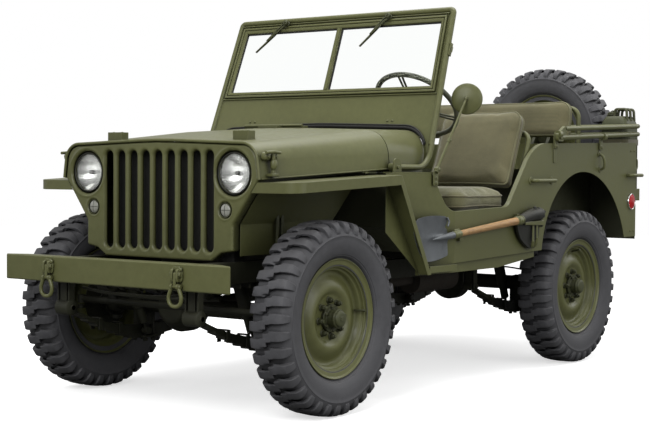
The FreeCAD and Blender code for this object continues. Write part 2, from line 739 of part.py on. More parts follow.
# ----------------------------------------------------------------------------------------------
# Wheels
# ----------------------------------------------------------------------------------------------
def tyre_profile():
    """Half-open section of a tyre: across is its width, up is its radius."""
    half, bead = D.tyre_width / 2, D.bead_width / 2
    tread, side, top = D.tread_width / 2, D.tyre_wall, D.tyre_radius
    belly = (top + BEAD_RADIUS) / 2 + 10
    lip = D.rim_radius + 6
    outer = [(bead, BEAD_RADIUS, 7), (bead, lip, 8), (half + 2, belly, 60), (tread + 4, top, 26)]
    inner = [(tread - side + 2, top - D.tread_wall, 20), (half - side + 2, belly, 50),
             (bead - side, lip + 4, 12), (bead - side, BEAD_RADIUS + 2)]
    left = [(-a, b, *bend) for a, b, *bend in reversed(outer)]
    back = [(-a, b, *bend) for a, b, *bend in reversed(inner)]
    return outer + left + back + inner


def rim_profile():
    """Section of the rim and the dished disc: across is outwards, up is the radius."""
    edge, wall = D.rim_width / 2, D.rim_wall
    seat, well = D.rim_bead_radius, D.rim_well_radius
    half_well = D.rim_well_width / 2
    crest, face = D.disc_crest_radius, D.disc_face_radius
    out, flat, disc = D.disc_crest_out, D.disc_face_out, D.disc_wall
    return [
        (-edge, D.rim_radius, 3), (wall - edge, D.rim_radius), (wall - edge, seat, 6),
        (-half_well - 8, seat - 2, 6), (-half_well, well, 6), (half_well, well, 6),
        (half_well + 8, seat - 2, 6), (edge - wall, seat, 6), (edge - wall, D.rim_radius),
        (edge, D.rim_radius, 3), (edge, seat - wall, 8), (half_well + 8 + wall, seat - wall - 2, 6),
        (half_well + wall, well - wall, 4), (half_well - 6, well - wall), (out - 8, crest + 26, 14),
        (out, crest, 12), (flat, face, 10), (flat, D.hub_radius - 4), (flat - disc, D.hub_radius - 4),
        (flat - disc, face, 10), (out - disc, crest - 4, 10), (out - 8 - disc, crest + 22, 14),
        (half_well - 14, well - wall, None), (-half_well, well - wall, 6),
        (-half_well - 8 - wall, seat - wall - 2, 6), (-edge, seat - wall, 8),
    ]


def wheel(name, side, axle_aft):
    """Tyre and wheel with its hub, placed on one end of an axle."""
    turn = 0 if side > 0 else 180
    tyre = start_body(f"{name}_tyre_body")
    revolve(tyre, "XZ_Plane", "H_Axis", tyre_profile())
    disc = start_body(f"{name}_disc")
    revolve(disc, "XZ_Plane", "H_Axis", rim_profile())
    bore = D.spindle_radius + D.seat_gap
    hub = start_body(f"{name}_hub")
    flat, out, cap = D.disc_face_out, D.hub_out, D.hub_cap_out
    deep = 45 - D.drum_in
    revolve(hub, "XZ_Plane", "H_Axis", [
        (-D.drum_in, bore), (deep, bore), (deep, 0), (cap, 0), (cap, D.hub_cap_radius - 4, 6),
        (cap - 14, D.hub_cap_radius), (out, D.hub_cap_radius), (out, D.hub_radius - 8, 4),
        (out - 12, D.hub_radius), (flat - D.disc_wall, D.hub_radius), (flat - D.disc_wall, D.drum_radius, 6),
        (-D.drum_in, D.drum_radius), (-D.drum_in, D.drum_radius - 6), (flat - D.disc_wall - 6, D.drum_radius - 6, 4),
        (flat - D.disc_wall - 6, D.hub_radius - 20), (-D.drum_in, D.hub_radius - 20),
    ])
    for body in (tyre, disc, hub):
        place(body, D.half_track * side, aft(axle_aft), D.tyre_radius, (0, 0, 1), turn)
    node(f"{name}_tyre", tyre)
    node(f"{name}_wheel", disc, hub)


def wheels():
    corners = (("front_left", 1, ZERO), ("front_right", -1, ZERO),
               ("rear_left", 1, D.wheelbase), ("rear_right", -1, D.wheelbase))
    for name, side, axle_aft in corners:
        wheel(name, side, axle_aft)


# ----------------------------------------------------------------------------------------------
# Tub
# ----------------------------------------------------------------------------------------------
def side_outline(inset):
    """Side view of a body side: cowl side, door cut-out, rear quarter and wheel arch.

    The door's edge moves into the panel by inset, which leaves room for its rolled lip.
    """
    low, rear_low = D.door_low_z, D.door_rear_low_z
    top_y, top_z = aft(D.arch_flat_aft), D.arch_top_z
    front_bend = tangent_radius(D.arch_flat_aft - D.arch_front_aft, top_z - D.sill_rear_z)
    rear_bend = tangent_radius(D.arch_rear_aft - D.arch_flat_aft, top_z - D.tail_low_z)
    return [
        (aft(D.tub_front_aft), 700), (aft(D.fender_foot_aft - 12), D.fender_foot_z + 8),
        (aft(D.taper_aft), D.sill_front_z), (aft(D.arch_front_aft), D.sill_rear_z, None, -front_bend),
        (top_y, top_z, None, -rear_bend), (aft(D.arch_rear_aft), D.tail_low_z), (aft(D.tub_rear_aft), D.tail_low_z),
        (aft(D.tub_rear_aft), D.side_rear_z), (aft(D.door_rear_top_aft + inset), D.side_rear_front_z, 262),
        (aft(D.door_rear_aft + inset), rear_low - inset, 66), (aft(D.door_front_low_aft - inset), low - inset, 108),
        (aft(D.door_front_aft - inset), D.side_front_z), (aft(D.tub_front_aft), D.side_front_z),
    ]


def side_plan(outer, deep):
    """Plan of a body side as a strip: straight along the tub and tapering to the cowl."""
    nose = outer - (D.body_half - D.nose_half)
    front, bend, rear = aft(D.tub_front_aft - 5), aft(D.taper_aft), aft(D.tub_rear_aft + 5)
    return [(outer, rear), (outer, bend), (nose, front), (nose - deep, front), (outer - deep, bend),
            (outer - deep, rear)]


def left_side():
    """The left body side: its side view and its plan, with the rolled door lip and the skirt."""
    low, high = Size.of(0), D.body_half + 10
    view = pad(start_body("side_view"), "YZ_Plane", low, high, side_outline(ZERO))
    plan = pad(start_body("side_plan"), "XY_Plane", low, 1400, side_plan(D.body_half, D.lip + D.sheet))
    thick = common("side_thick", view, plan)
    hollow_view = pad(start_body("side_hollow_view"), "YZ_Plane", low, high, side_outline(D.sheet))
    hollow_plan = pad(start_body("side_hollow_plan"), "XY_Plane", -10, 1410,
                      side_plan(D.body_half - D.sheet, D.lip + 5))
    hollow = common("side_hollow", hollow_view, hollow_plan)
    skin = cut("side_skin", thick, hollow)
    return skin


def skirt():
    """The recessed sill rail below the door, with its bowed lower edge."""
    front, rear = D.fender_foot_aft + 6, D.arch_front_aft - 50
    view = pad(start_body("skirt_view"), "YZ_Plane", 0, D.body_half, [
        (aft(front), D.skirt_low_z), (aft(1192), D.skirt_low_z + 3), (aft(rear), D.skirt_low_z + 36),
        (aft(rear), D.sill_rear_z + 15), (aft(front), D.sill_front_z + 10)])
    outer = D.body_half - D.sheet
    plan = pad(start_body("skirt_plan"), "XY_Plane", 0, 1000, side_plan(outer, D.skirt_inset))
    below = pad(start_body("skirt_below"), "YZ_Plane", 0, D.body_half + 20, side_outline(ZERO))
    thin = pad(start_body("skirt_thin"), "XY_Plane", -1, 1001,
               side_plan(D.body_half - D.skirt_inset, D.skirt_inset))
    return common("skirt", view, fuse("skirt_plans", [common("skirt_flange", plan, below), thin]))


def side_panels():
    left = fuse("left_panel", [left_side(), skirt()])
    node("left_side_panel", left)
    node("right_side_panel", mirrored("right_side", left))


def rear_panel():
    """The tail panel between the body sides."""
    body = start_body("tail")
    half = D.body_half - D.sheet - D.seat_gap
    back = aft(D.tub_rear_aft)
    pad(body, "XZ_Plane", back - D.sheet, back, rectangle(-half, half, FLOOR_Z, D.side_rear_z - 2))
    node("rear_panel", body)


def floor_pan():
    """Floor, toe board and firewall as one bent sheet, narrowed between the wheel boxes."""
    body = start_body("floor")
    half, wall = D.body_half, D.sheet
    fire, toe, rear = aft(D.fire_aft), aft(D.toe_aft), aft(D.tub_rear_aft - D.sheet - D.seat_gap)
    top, low = D.side_front_z, FLOOR_Z
    pad(body, "YZ_Plane", -half, half, [
        (fire, low + 120), (toe, low), (rear, low), (rear, low + wall), (toe, low + wall),
        (fire + wall, low + 120 + wall), (fire + wall, top), (fire, top)])
    plan = start_body("floor_plan")
    clear = D.sheet + D.seat_gap
    half_taper = D.body_half - clear
    half_fire = side_half_at(D.fire_aft) - clear
    box_front, half_rear = aft(D.wheel_box_front_aft) - D.seat_gap, D.wheel_box_x - D.seat_gap
    pad(plan, "XY_Plane", 0, 1400, [
        (-half_fire, fire), (half_fire, fire), (half_taper, aft(D.taper_aft)), (half_taper, box_front),
        (half_rear, box_front), (half_rear, rear), (-half_rear, rear), (-half_rear, box_front),
        (-half_taper, box_front), (-half_taper, aft(D.taper_aft))])
    trimmed = common("floor_trimmed", body, plan)
    column = column_rod("column_hole", D.column_radius + D.seat_gap)
    node("floor_pan", cut("floor_cut", trimmed, column))


def side_half_at(distance):
    """Outer half width of the tapering cowl side at a distance aft."""
    nose = D.tub_front_aft - 5
    return D.nose_half + (D.body_half - D.nose_half) * (distance - nose) / (D.taper_aft - nose)


def wheel_boxes():
    """The closed boxes over the rear wheels, which are the rear side seats."""
    body = start_body("wheel_box")
    inner, outer = D.wheel_box_x, D.body_half - D.sheet - D.seat_gap
    front, rear = aft(D.wheel_box_front_aft), aft(D.tub_rear_aft - D.sheet - D.seat_gap)
    low, top = FLOOR_Z + D.seat_gap, D.wheel_box_top_z
    pad(body, "YZ_Plane", inner, outer, rectangle(front, rear, low, top))
    wall = D.sheet
    pocket(body, "YZ_Plane", inner + wall, outer, rectangle(front + wall, rear - wall, low, top - wall))
    node("wheel_boxes", *both("right_wheel_box", body))


# ----------------------------------------------------------------------------------------------
# Cowl, hood, grille and fenders
# ----------------------------------------------------------------------------------------------
def bonnet_section(half, low, top, shoulder, inset):
    """Cross-section of the hood or cowl: crowned top, round shoulders, sides leaning in."""
    wide, high = half - inset, top - inset
    bend, lean_in = shoulder - inset, D.hood_lean
    return [(-wide, low), (wide, low), (wide - lean_in, high - D.crown, bend), (ZERO, high, 2600),
            (lean_in - wide, high - D.crown, bend)]


def shell(body, stations):
    """A lofted sheet between bonnet sections: the outer form less the inner one."""
    for inset, is_cut in ((ZERO, False), (D.sheet, True)):
        sections = [("XZ_Plane", -y, bonnet_section(*shape, inset)) for y, *shape in stations]
        loft(body, sections, is_cut)
    return body


def hinge_parts(name, spans, leaf_y):
    """Hinge barrels on the hood's axis, each with a leaf that reaches to leaf_y."""
    y, z = aft(D.seam_aft), HINGE_Z
    pieces = []
    for number, (left, right) in enumerate(spans):
        pieces.append(rod(f"{name}_barrel{number}", "X", left, y, z, right - left, D.hinge_radius))
        low, high = (y, leaf_y) if leaf_y.value > y.value else (leaf_y, y)
        pieces.append(box(f"{name}_leaf{number}", (left, right), (low, high), (D.cowl_top_z - 5, z - 1)))
    return fuse(f"{name}_hinge", pieces)


def hood():
    """The hood: a lofted shell, open below and at both ends, with its hinge and two blocks."""
    front, rear = aft(-D.grille_ahead - D.grille_wall), aft(D.seam_aft) - D.gap / 2
    body = shell(start_body("hood_shell"), (
        # plane, half width, lower edge, top, shoulder radius
        (front, D.hood_front_half, D.hood_front_low_z, D.hood_front_top_z, D.front_shoulder),
        (rear, D.cowl_half, D.cowl_low_z + 12, D.cowl_top_z, SEAM_SHOULDER)))
    inner = D.hinge_half / 3
    barrel = hinge_parts("hood", [(-inner + 0.5, inner - 0.5)], aft(D.seam_aft) - 40)
    bore = rod("hood_hinge_bore", "X", -inner - 5, aft(D.seam_aft), HINGE_Z, inner * 2 + 10, D.hinge_pin + D.seat_gap)
    blocks = []
    slope = (D.cowl_top_z - D.hood_front_top_z) / (D.seam_aft + D.grille_ahead)
    under = D.hood_front_top_z + (D.grille_ahead - D.block_ahead) * slope - D.crown
    for side in (-1, 1):
        x = D.block_x * side
        block = start_body(f"hood_block{side}")
        pad(block, "XY_Plane", under, under + D.crown + D.block_height - 12,
            rectangle(x - 39, x + 39, aft(-D.block_ahead) - 22.5, aft(-D.block_ahead) + 22.5, 3))
        blocks.append(block)
    solid = fuse("hood_solid", [body, *blocks, cut("hood_barrel_bored", barrel, bore)])
    node("hood", solid)


def cowl():
    """The cowl: the hood's form carried back to the windscreen, cut along the rake."""
    front, rear = aft(D.seam_aft) + D.gap / 2, aft(D.screen_base_aft + 60)
    body = shell(start_body("cowl_shell"), (
        (front, D.cowl_half, D.cowl_low_z, D.cowl_top_z, SEAM_SHOULDER),
        (rear, D.cowl_half, D.cowl_low_z, D.cowl_rear_top_z, D.rear_shoulder)))
    base_y, base_z = aft(D.screen_base_aft), D.screen_base_z
    slope = tangent(D.rake)
    start = base_y - D.gap - (base_z - 900) * slope
    pocket(body, "YZ_Plane", -800, 800, [
        (start, 900), (start + 400, 900), (start + 400, 1300), (start + slope * 400, 1300)])
    ledge = start_body("cowl_ledge")
    front, rear = D.seam_aft - 47, D.screen_base_aft - 60
    low = D.side_front_z + D.seat_gap
    inner = D.cowl_half - D.sheet
    pad(ledge, "XY_Plane", low, D.cowl_low_z, [
        (inner, aft(front)), (side_half_at(front), aft(front)), (side_half_at(rear), aft(rear)),
        (inner, aft(rear))])
    outer = D.hinge_half
    inner = D.hinge_half / 3
    barrels = hinge_parts("cowl", [(-outer, -inner - 0.5), (inner + 0.5, outer)], aft(D.seam_aft) + 40)
    hinge_pin = rod("hinge_pin", "X", -outer, aft(D.seam_aft), HINGE_Z, outer * 2, D.hinge_pin)
    node("cowl", body, *both("right_ledge", ledge), barrels, hinge_pin)


def grille_side(z):
    """Half width of the grille where its side slants out, at height z."""
    half, foot = D.hood_front_half - D.sheet - D.gap, D.grille_foot_half
    return foot + (half - foot) * (z - D.grille_waist_z) / (D.hood_front_low_z - D.grille_waist_z)


def grille_outline(inset):
    """The plate's outline: inside the hood's front edge above, narrow between the fenders below."""
    clear = D.sheet + D.gap
    half, chin, foot = D.hood_front_half - clear - inset, D.grille_chin_half - inset, D.grille_foot_half - inset
    top, bend = D.hood_front_top_z - clear - inset, D.front_shoulder - clear - inset
    low, foot_z = D.grille_low_z + inset, D.grille_foot_z + inset
    jaw, jaw_z = chin + 49, low + 32
    return [
        (-chin, low), (chin, low), (jaw, jaw_z), (foot, foot_z), (foot, D.grille_waist_z, 30),
        (half, D.hood_front_low_z), (half - D.hood_lean, top - D.crown, bend), (ZERO, top, 2600),
        (D.hood_lean - half, top - D.crown, bend), (-half, D.hood_front_low_z), (-foot, D.grille_waist_z, 30),
        (-foot, foot_z), (-jaw, jaw_z),
    ]


def slot_loop(x, grow):
    """One upright slot with round ends, grown outwards by grow."""
    half = D.slot_half + grow
    low, high = D.slot_low_z - grow, D.slot_high_z + grow
    return rectangle(x - half, x + half, low, high, half * 0.97)


def grille():
    """A pressed plate with a turned rim, collared slots and openings for the lamps."""
    face = aft(-D.grille_ahead - D.grille_wall)
    body = start_body("grille_plate")
    back = face + D.grille_flange
    pad(body, "XZ_Plane", face, back, grille_outline(ZERO))
    pocket(body, "XZ_Plane", face + D.grille_wall, back, grille_outline(D.grille_wall))
    first = D.slot_pitch * (D.slot_count - 1) / -2
    pad(body, "XZ_Plane", face, face + D.slot_collar, slot_loop(first, D.sheet))
    pocket(body, "XZ_Plane", face, face + D.slot_collar, slot_loop(first, ZERO))
    repeat(body, body.Group[-4:], D.slot_pitch, D.slot_count)
    lamps = [Round(side * D.lamp_x, D.lamp_z, D.lamp_opening) for side in (-1, 1)]
    lamps += [Round(side * D.marker_x, D.marker_z, D.marker_radius + D.seat_gap) for side in (-1, 1)]
    pocket(body, "XZ_Plane", face, back - 1, *lamps)
    node("grille", body)


def fender_view(shift):
    """Side view of a fender with its turned-down lip, moved inwards by shift."""
    drop = shift * 3
    run, fall = D.fender_foot_aft - D.fender_rear_aft, D.fender_rear_z - D.fender_foot_z
    slant = root(run * run + fall * fall) / fall
    start, rear, foot = aft(-D.grille_ahead) + D.seat_gap + shift, aft(D.fender_rear_aft), aft(D.fender_foot_aft)
    low = D.fender_rear_z - D.fender_lip
    return [
        (start, D.fender_front_z - D.fender_lip - drop), (start, D.fender_front_z - shift),
        (rear - shift * slant * 0.6, D.fender_rear_z - shift), (foot - shift * slant, D.fender_foot_z - drop),
        (foot - (D.apron_lip + drop) * slant, D.fender_foot_z - drop),
        (rear - (D.apron_lip + drop) * slant + run * D.fender_lip / fall, low - drop)]


def fender_plan(shift):
    """Plan of a fender: a round front corner and an outer edge that widens to the rear."""
    front, rear = aft(-D.grille_ahead) + D.seat_gap + shift, aft(D.fender_foot_aft)
    inner = D.grille_foot_half + 20 - shift * 5
    return [
        (inner, front), (D.fender_front_x - shift, front, D.fender_corner - shift),
        (D.fender_outer_x - shift, rear - 225), (D.fender_outer_x - shift, rear + 5 + shift),
        (inner, rear + 5 + shift)]


def inner_apron():
    """The bent sheet between fender and engine bay, under the fender's top and ahead of the cowl."""
    waist, foot, wall = D.grille_waist_z, D.grille_foot_half, D.sheet
    top = D.fender_rear_z + 10
    outer = grille_side(top)
    front, rear = aft(D.grille_flange - D.grille_ahead + 2), aft(D.tub_front_aft) - D.gap
    sheet = start_body("apron_sheet")
    pad(sheet, "XZ_Plane", front, rear, [
        (foot, D.apron_low_z), (foot + wall + D.seat_gap, D.apron_low_z), (foot + wall + D.seat_gap, waist),
        (outer + wall * 2, top), (outer, top), (foot, waist)])
    under = start_body("apron_under")
    pad(under, "YZ_Plane", 0, D.body_half, [
        (front - 10, 500), (aft(D.fender_rear_aft), 500), (aft(D.fender_rear_aft), D.fender_rear_z - 1),
        (aft(-D.grille_ahead), D.fender_front_z - 1), (front - 10, D.fender_front_z - 1)])
    return common("inner_apron", sheet, under)


def fenders():
    """Pressed sheets with a turned-down lip, from the grille over the wheel to the sill."""
    low, high = Size.of(300), D.fender_outer_x + 10
    view = pad(start_body("fender_view"), "YZ_Plane", low, high, fender_view(ZERO))
    plan = pad(start_body("fender_plan"), "XY_Plane", 400, 1000, fender_plan(ZERO))
    hollow_view = pad(start_body("fender_hollow_view"), "YZ_Plane", low, high, fender_view(D.sheet))
    hollow_plan = pad(start_body("fender_hollow_plan"), "XY_Plane", 390, 1010, fender_plan(D.sheet))
    skin = cut("fender_skin", common("fender_solid", view, plan), common("fender_hollow", hollow_view, hollow_plan))
    tub = start_body("fender_tub_clear")
    nose, rear = D.tub_front_aft - 5, D.taper_aft
    pad(tub, "XY_Plane", 400, 1000, [
        (300, aft(nose)), (side_half_at(nose) + D.seat_gap, aft(nose)), (side_half_at(rear) + D.seat_gap, aft(rear)),
        (300, aft(rear))])
    step = box("fender_step", (side_half_at(D.fender_foot_aft + 30), D.fender_outer_x - 6),
               (aft(D.fender_foot_aft) - 1, aft(D.taper_aft) - 14), (D.skirt_low_z + 12, D.sill_front_z - 2))
    nose_clear = start_body("fender_nose_clear")
    foot, top, clear = D.grille_foot_half, D.fender_rear_z + 20, D.seat_gap
    pad(nose_clear, "XZ_Plane", aft(-D.grille_ahead) - 10, aft(D.tub_front_aft) - 1, [
        (200, 500), (foot + clear, 500), (foot + clear, D.grille_waist_z), (grille_side(top) + clear, top), (200, top)])
    pieces = fuse("fender_pieces", [cut("fender_trimmed", skin, tub), cut("step_trimmed", step, tub), inner_apron()])
    node("front_fenders", *both("right_fender", cut("fender_whole", pieces, nose_clear)))


def front_lamps():
    """Headlamp bowls and markers behind the grille plate."""
    face = aft(-D.grille_ahead)
    bowl = start_body("headlamp")
    radius, deep, flange = D.lamp_radius, D.lamp_depth, D.lamp_opening + 8
    lens = face - D.grille_wall + D.lamp_recess
    revolve(bowl, "YZ_Plane", "H_Axis", [
        (lens, ZERO), (lens + 1, radius * 0.75), (lens + 4, radius), (lens - 3, radius), (lens - 3, radius + 5),
        (face + D.seat_gap, D.lamp_opening - 2), (face + D.seat_gap, flange), (face + 5, flange),
        (face + 20, radius + 6), (face + deep * 0.7, radius * 0.7, 20), (face + deep, ZERO)])
    place(bowl, D.lamp_x, 0, D.lamp_z)
    marker = rod("marker", "Y", D.marker_x, face - 4, D.marker_z, 40, D.marker_radius)
    node("front_lamps", *both("right_headlamp", bowl), *both("right_marker", marker))


# ----------------------------------------------------------------------------------------------
# Windscreen
# ----------------------------------------------------------------------------------------------
def lean(piece):
    """Leans a piece drawn upright in the windscreen's own frame back by the rake."""
    return place(piece, 0, aft(D.screen_base_aft), D.screen_base_z, (1, 0, 0), -D.rake)


def screen_half(height):
    """Half width of the windscreen's tube frame at a height up the screen."""
    return D.screen_low_half - (D.screen_low_half - D.screen_top_half) * height / D.screen_height


def windscreen_sheet():
    """The sheet below the panes, cut to clear the cowl's crown, with the sash around the glass."""
    body = start_body("screen_sheet")
    wall, low, high = D.sheet, Size.of(30), D.screen_height
    edge = D.screen_tube * 0.6
    pad(body, "XZ_Plane", -wall, wall, [
        (edge - screen_half(low), low), (screen_half(low) - edge, low),
        (screen_half(high) - edge, high - edge), (edge - screen_half(high), high - edge)])
    pane_low, pane_high = D.glass_low + 26, high - 60
    post = Size.of(13)
    for side in (-1, 1):
        inner = post * side
        outer_low = (screen_half(pane_low) - 51) * side
        outer_high = (screen_half(pane_high) - 51) * side
        loop = [(inner, pane_low), (outer_low, pane_low), (outer_high, pane_high), (inner, pane_high)]
        pocket(body, "XZ_Plane", -wall * 2, wall * 2, loop)
    crown_z = (D.cowl_rear_top_z + D.gap - D.screen_base_z) / cosine(D.rake)
    side_x = D.cowl_half + D.gap
    shoulder_z, bend = crown_z - D.crown, D.rear_shoulder + D.gap
    pocket(body, "XZ_Plane", -wall * 2, wall * 2, [
        (-side_x, -40), (side_x, -40), (side_x - D.hood_lean, shoulder_z, bend),
        (ZERO, crown_z, 2600), (D.hood_lean - side_x, shoulder_z, bend)])
    return lean(body)


def screen_arm():
    """The tube that runs on from the frame's corner, forward to its pivot on the cowl side."""
    rake, low = D.rake, Size.of(72)
    start_y = aft(D.screen_base_aft) + low * sine(rake)
    start_z = D.screen_base_z + low * cosine(rake)
    body = tube("screen_arm", "YZ_Plane", D.screen_low_half, [
        (start_y, start_z), (aft(D.screen_base_aft) - (D.screen_base_z - D.screen_pivot_z) * tangent(rake),
                             D.screen_pivot_z, 105),
        (aft(D.screen_pivot_aft), D.screen_pivot_z)], D.screen_tube - 1)
    return body


def windscreen():
    """Tube frame on two forward arms, with a sheet below and two panes in a divided sash."""
    x, top, low = D.screen_low_half, D.screen_top_half, Size.of(66)
    high = D.screen_height
    loop = lean(tube("screen_loop", "XZ_Plane", 0, [
        (-screen_half(low), low), (-top, high, 18), (top, high, 18), (screen_half(low), low)],
        D.screen_tube))
    arm = screen_arm()
    eye = rod("screen_eye", "X", x - 13, aft(D.screen_pivot_aft), D.screen_pivot_z, 26, 18)
    side = cut("screen_side", fuse("screen_side_solid", [arm, eye]),
               rod("screen_eye_bore", "X", x - 20, aft(D.screen_pivot_aft), D.screen_pivot_z, 40, 8))
    node("windscreen_frame", loop, windscreen_sheet(), *both("right_screen_side", side))
    glass = start_body("glass")
    pane_low, pane_high = D.glass_low + 20, high - 54
    wall = D.sheet + D.seat_gap
    pad(glass, "XZ_Plane", wall, wall + D.glass_wall, [
        (12, pane_low), (screen_half(pane_low) - 45, pane_low), (screen_half(pane_high) - 45, pane_high),
        (12, pane_high)])
    lean(glass)
    node("windscreen_glass", *both("right_glass", glass))


def screen_pivots():
    """A bracket on each cowl side with the pin that the windscreen arm turns on."""
    x, y, z = D.screen_low_half, aft(D.screen_pivot_aft), D.screen_pivot_z
    plate = start_body("pivot_plate")
    outer, foot = x + 17, D.cowl_low_z + D.seat_gap
    pad(plate, "YZ_Plane", outer, outer + 6, [
        (y - 30, foot), (y + 30, foot), (y + 24, z + 36, 18), (y - 24, z + 36, 18)])
    bolt = rod("pivot_bolt", "X", x - 11, y, z, 42, 7.7)
    return fuse("pivot", [plate, bolt])


# ----------------------------------------------------------------------------------------------
# Engine bay and underside
# ----------------------------------------------------------------------------------------------
def engine_bay():
    """Engine as one plain mass, with the radiator, gearbox, shafts and exhaust."""
    y0, y1 = aft(D.engine_front_aft), aft(D.engine_rear_aft)
    engine = start_body("engine")
    pad(engine, "XZ_Plane", y0, y1, [
        (-110, D.engine_low_z), (110, D.engine_low_z), (150, 640), (D.engine_half, 760),
        (120, D.engine_high_z), (-120, D.engine_high_z), (-D.engine_half, 760), (-150, 640)])
    node("engine_block", engine)
    front = aft(-D.radiator_ahead)
    core = box("radiator_core", (-D.radiator_half, D.radiator_half), (front, front + D.radiator_wall),
               (D.radiator_low_z, D.radiator_high_z))
    feet = [box(f"radiator_foot{side}", (side * 318 - 33, side * 318 + 33), (front, front + D.radiator_wall),
                (D.rail_ends_z + D.rail_height, D.radiator_low_z + 30)) for side in (-1, 1)]
    node("radiator", core, *feet)
    box_front, box_rear = aft(D.engine_rear_aft), aft(D.gearbox_rear_aft)
    case = start_body("gear_case")
    bell = 120
    revolve(case, "YZ_Plane", "H_Axis", [
        (box_front, ZERO), (box_front, bell, 10), (box_front + 80, bell, 20), (box_front + 150, 92, 20),
        (box_rear, 85, 10), (box_rear, ZERO)])
    place(case, 0, 0, 500)
    transfer = box("transfer_case", (-200, 40), (box_rear - 190, box_rear), (372, 560))
    node("gearbox", case, transfer)
    low = Size.of(420)
    shafts = []
    for name, x, y0, z0, y1, z1 in (
            ("front_shaft", D.front_diff_x, aft(190), D.tyre_radius, box_rear - 190, low),
            ("rear_shaft", D.rear_diff_x, box_rear, low, aft(D.wheelbase - 190), D.tyre_radius)):
        back_off = D.shaft_radius * 0.062 + D.seat_gap
        y0, y1 = y0 + back_off, y1 - back_off
        drop, run = z1 - z0, y1 - y0
        tilt = slope_angle(drop, run)
        shaft = fresh("Part::Cylinder", name)
        bind(shaft, "Radius", D.shaft_radius)
        bind(shaft, "Height", root(run * run + drop * drop))
        place(shaft, x, y0, z0, (1, 0, 0), tilt - 90)
        shafts.append(shaft)
    node("propeller_shafts", *shafts)
    down = rod("down_pipe", "Z", 225, aft(262), 413, 272, D.exhaust_radius + 4)
    port = rod("exhaust_port", "X", 163.5, aft(262), 660, 66, D.exhaust_radius - 3)
    pipe = tube("exhaust_pipe", "XY_Plane", 440, [
        (225, aft(235)), (225, aft(560), 60), (255, aft(900), 80), (255, aft(1180))], D.exhaust_radius)
    silencer = rod("silencer", "Y", 255, aft(1150), 440, 340, 62)
    hanger = box("silencer_hanger", (255, D.rail_x), (aft(1200), aft(1220)),
                 (D.rail_middle_z + D.rail_wall + D.seat_gap, D.rail_middle_z + D.rail_wall + 8))
    node("exhaust", down, port, pipe, silencer, hanger)


# ----------------------------------------------------------------------------------------------
# Seats and controls
# ----------------------------------------------------------------------------------------------
def cushion(name, half, front, rear, low, high, bend):
    """A plain upholstered pad with rounded corners, seen from above."""
    body = start_body(name)
    return pad(body, "XY_Plane", low, high, rectangle(-half, half, front, rear, bend))


def leaned_back(name, x, half, foot_y, low, high, wall, lean_by):
    """A seat back drawn upright, with round top corners, and leaned to the rear."""
    body = start_body(name)
    pad(body, "XZ_Plane", -wall / 2, wall / 2, [
        (-half + 14, 0), (half - 14, 0), (half - 14, high - low, 58), (-half + 14, high - low, 58)])
    return place(body, x, foot_y, low, (1, 0, 0), -lean_by)


def seats():
    """Two front seats and the rear bench: pads, backs and their tube frames."""
    low = D.seat_top_z - D.cushion
    front, rear = aft(D.seat_front_aft), aft(D.seat_rear_aft)
    pads, backs, frames = [], [], []
    foot = rear + 2
    for side, name in ((1, "driver"), (-1, "passenger")):
        seat = cushion(f"{name}_pad", D.seat_half, front, rear, low, D.seat_top_z, 60)
        pads.append(place(seat, D.seat_x * side, 0, 0))
        backs.append(leaned_back(f"{name}_back", D.seat_x * side, D.seat_half, foot + 38,
                                 D.seat_top_z + 8, D.back_top_z, D.back_wall, D.back_lean))
        frames += seat_frame(name, D.seat_x * side, front, rear, low)
    bench_low = D.rear_seat_top_z - D.cushion
    bench_front, bench_rear = aft(D.rear_seat_front_aft), aft(D.rear_seat_rear_aft)
    bench = cushion("bench_pad", D.rear_seat_half, bench_front, bench_rear, bench_low, D.rear_seat_top_z, 50)
    pads.append(bench)
    backs.append(leaned_back("bench_back", 0, D.rear_back_half, bench_rear + 62, 1128,
                             D.rear_back_top_z, 55, Size.of(6)))
    frames += bench_frame(bench_front, bench_rear, bench_low)
    node("seat_cushions", *pads)
    node("seat_backs", *backs)
    node("seat_frames", *frames)


def seat_frame(name, x, front, rear, low):
    """Tube sides with their feet, and the hoop behind the back."""
    pan = box(f"{name}_pan", (x - D.seat_half + 12, x + D.seat_half - 12), (front + 14, rear - 14),
              (low - 6 - D.seat_gap, low - D.seat_gap))
    posts = []
    for across in (-1, 1):
        foot_x = x + (D.seat_half - 40) * across
        for y in (front + 40, rear - 40):
            posts.append(rod(f"{name}_post{len(posts)}", "Z", foot_x, y, FLOOR_Z + D.sheet,
                             low - 6 - D.seat_gap - FLOOR_Z - D.sheet, D.seat_tube))
    hoop = tube(f"{name}_hoop", "XZ_Plane", 0, [
        (-D.seat_half, -105), (-D.seat_half, 300, 50), (D.seat_half, 300, 50), (D.seat_half, -105)], D.seat_tube)
    lean_by = D.back_lean
    back_gap = D.back_wall / 2 + D.seat_tube + D.seat_gap
    place(hoop, x, rear + 40 + back_gap * cosine(lean_by), D.seat_top_z + 8 - back_gap * sine(lean_by),
          (1, 0, 0), -lean_by)
    shelf = box(f"{name}_tie", (x - D.seat_half, x + D.seat_half), (rear - 30, rear + 88), (low - 20, low - 6))
    return [pan, *posts, hoop, shelf]


def bench_frame(front, rear, low):
    """The bench's pan on two brackets to the wheel boxes, and the tube hoop behind its back."""
    pan = box("bench_pan", (-D.wheel_box_x + 0.3, D.wheel_box_x - 0.3), (front + 14, rear - 14),
              (low - 6 - D.seat_gap, low - D.seat_gap))
    half, foot = D.rear_back_half, D.wheel_box_top_z + D.seat_gap
    y = rear + 62 + 27.5 + D.seat_tube + 17
    hoop = tube("bench_hoop", "XZ_Plane", -y, [
        (-half, foot), (-half, D.rear_back_top_z - 40, 50), (half, D.rear_back_top_z - 40, 50),
        (half, foot)], D.seat_tube)
    return [pan, hoop]


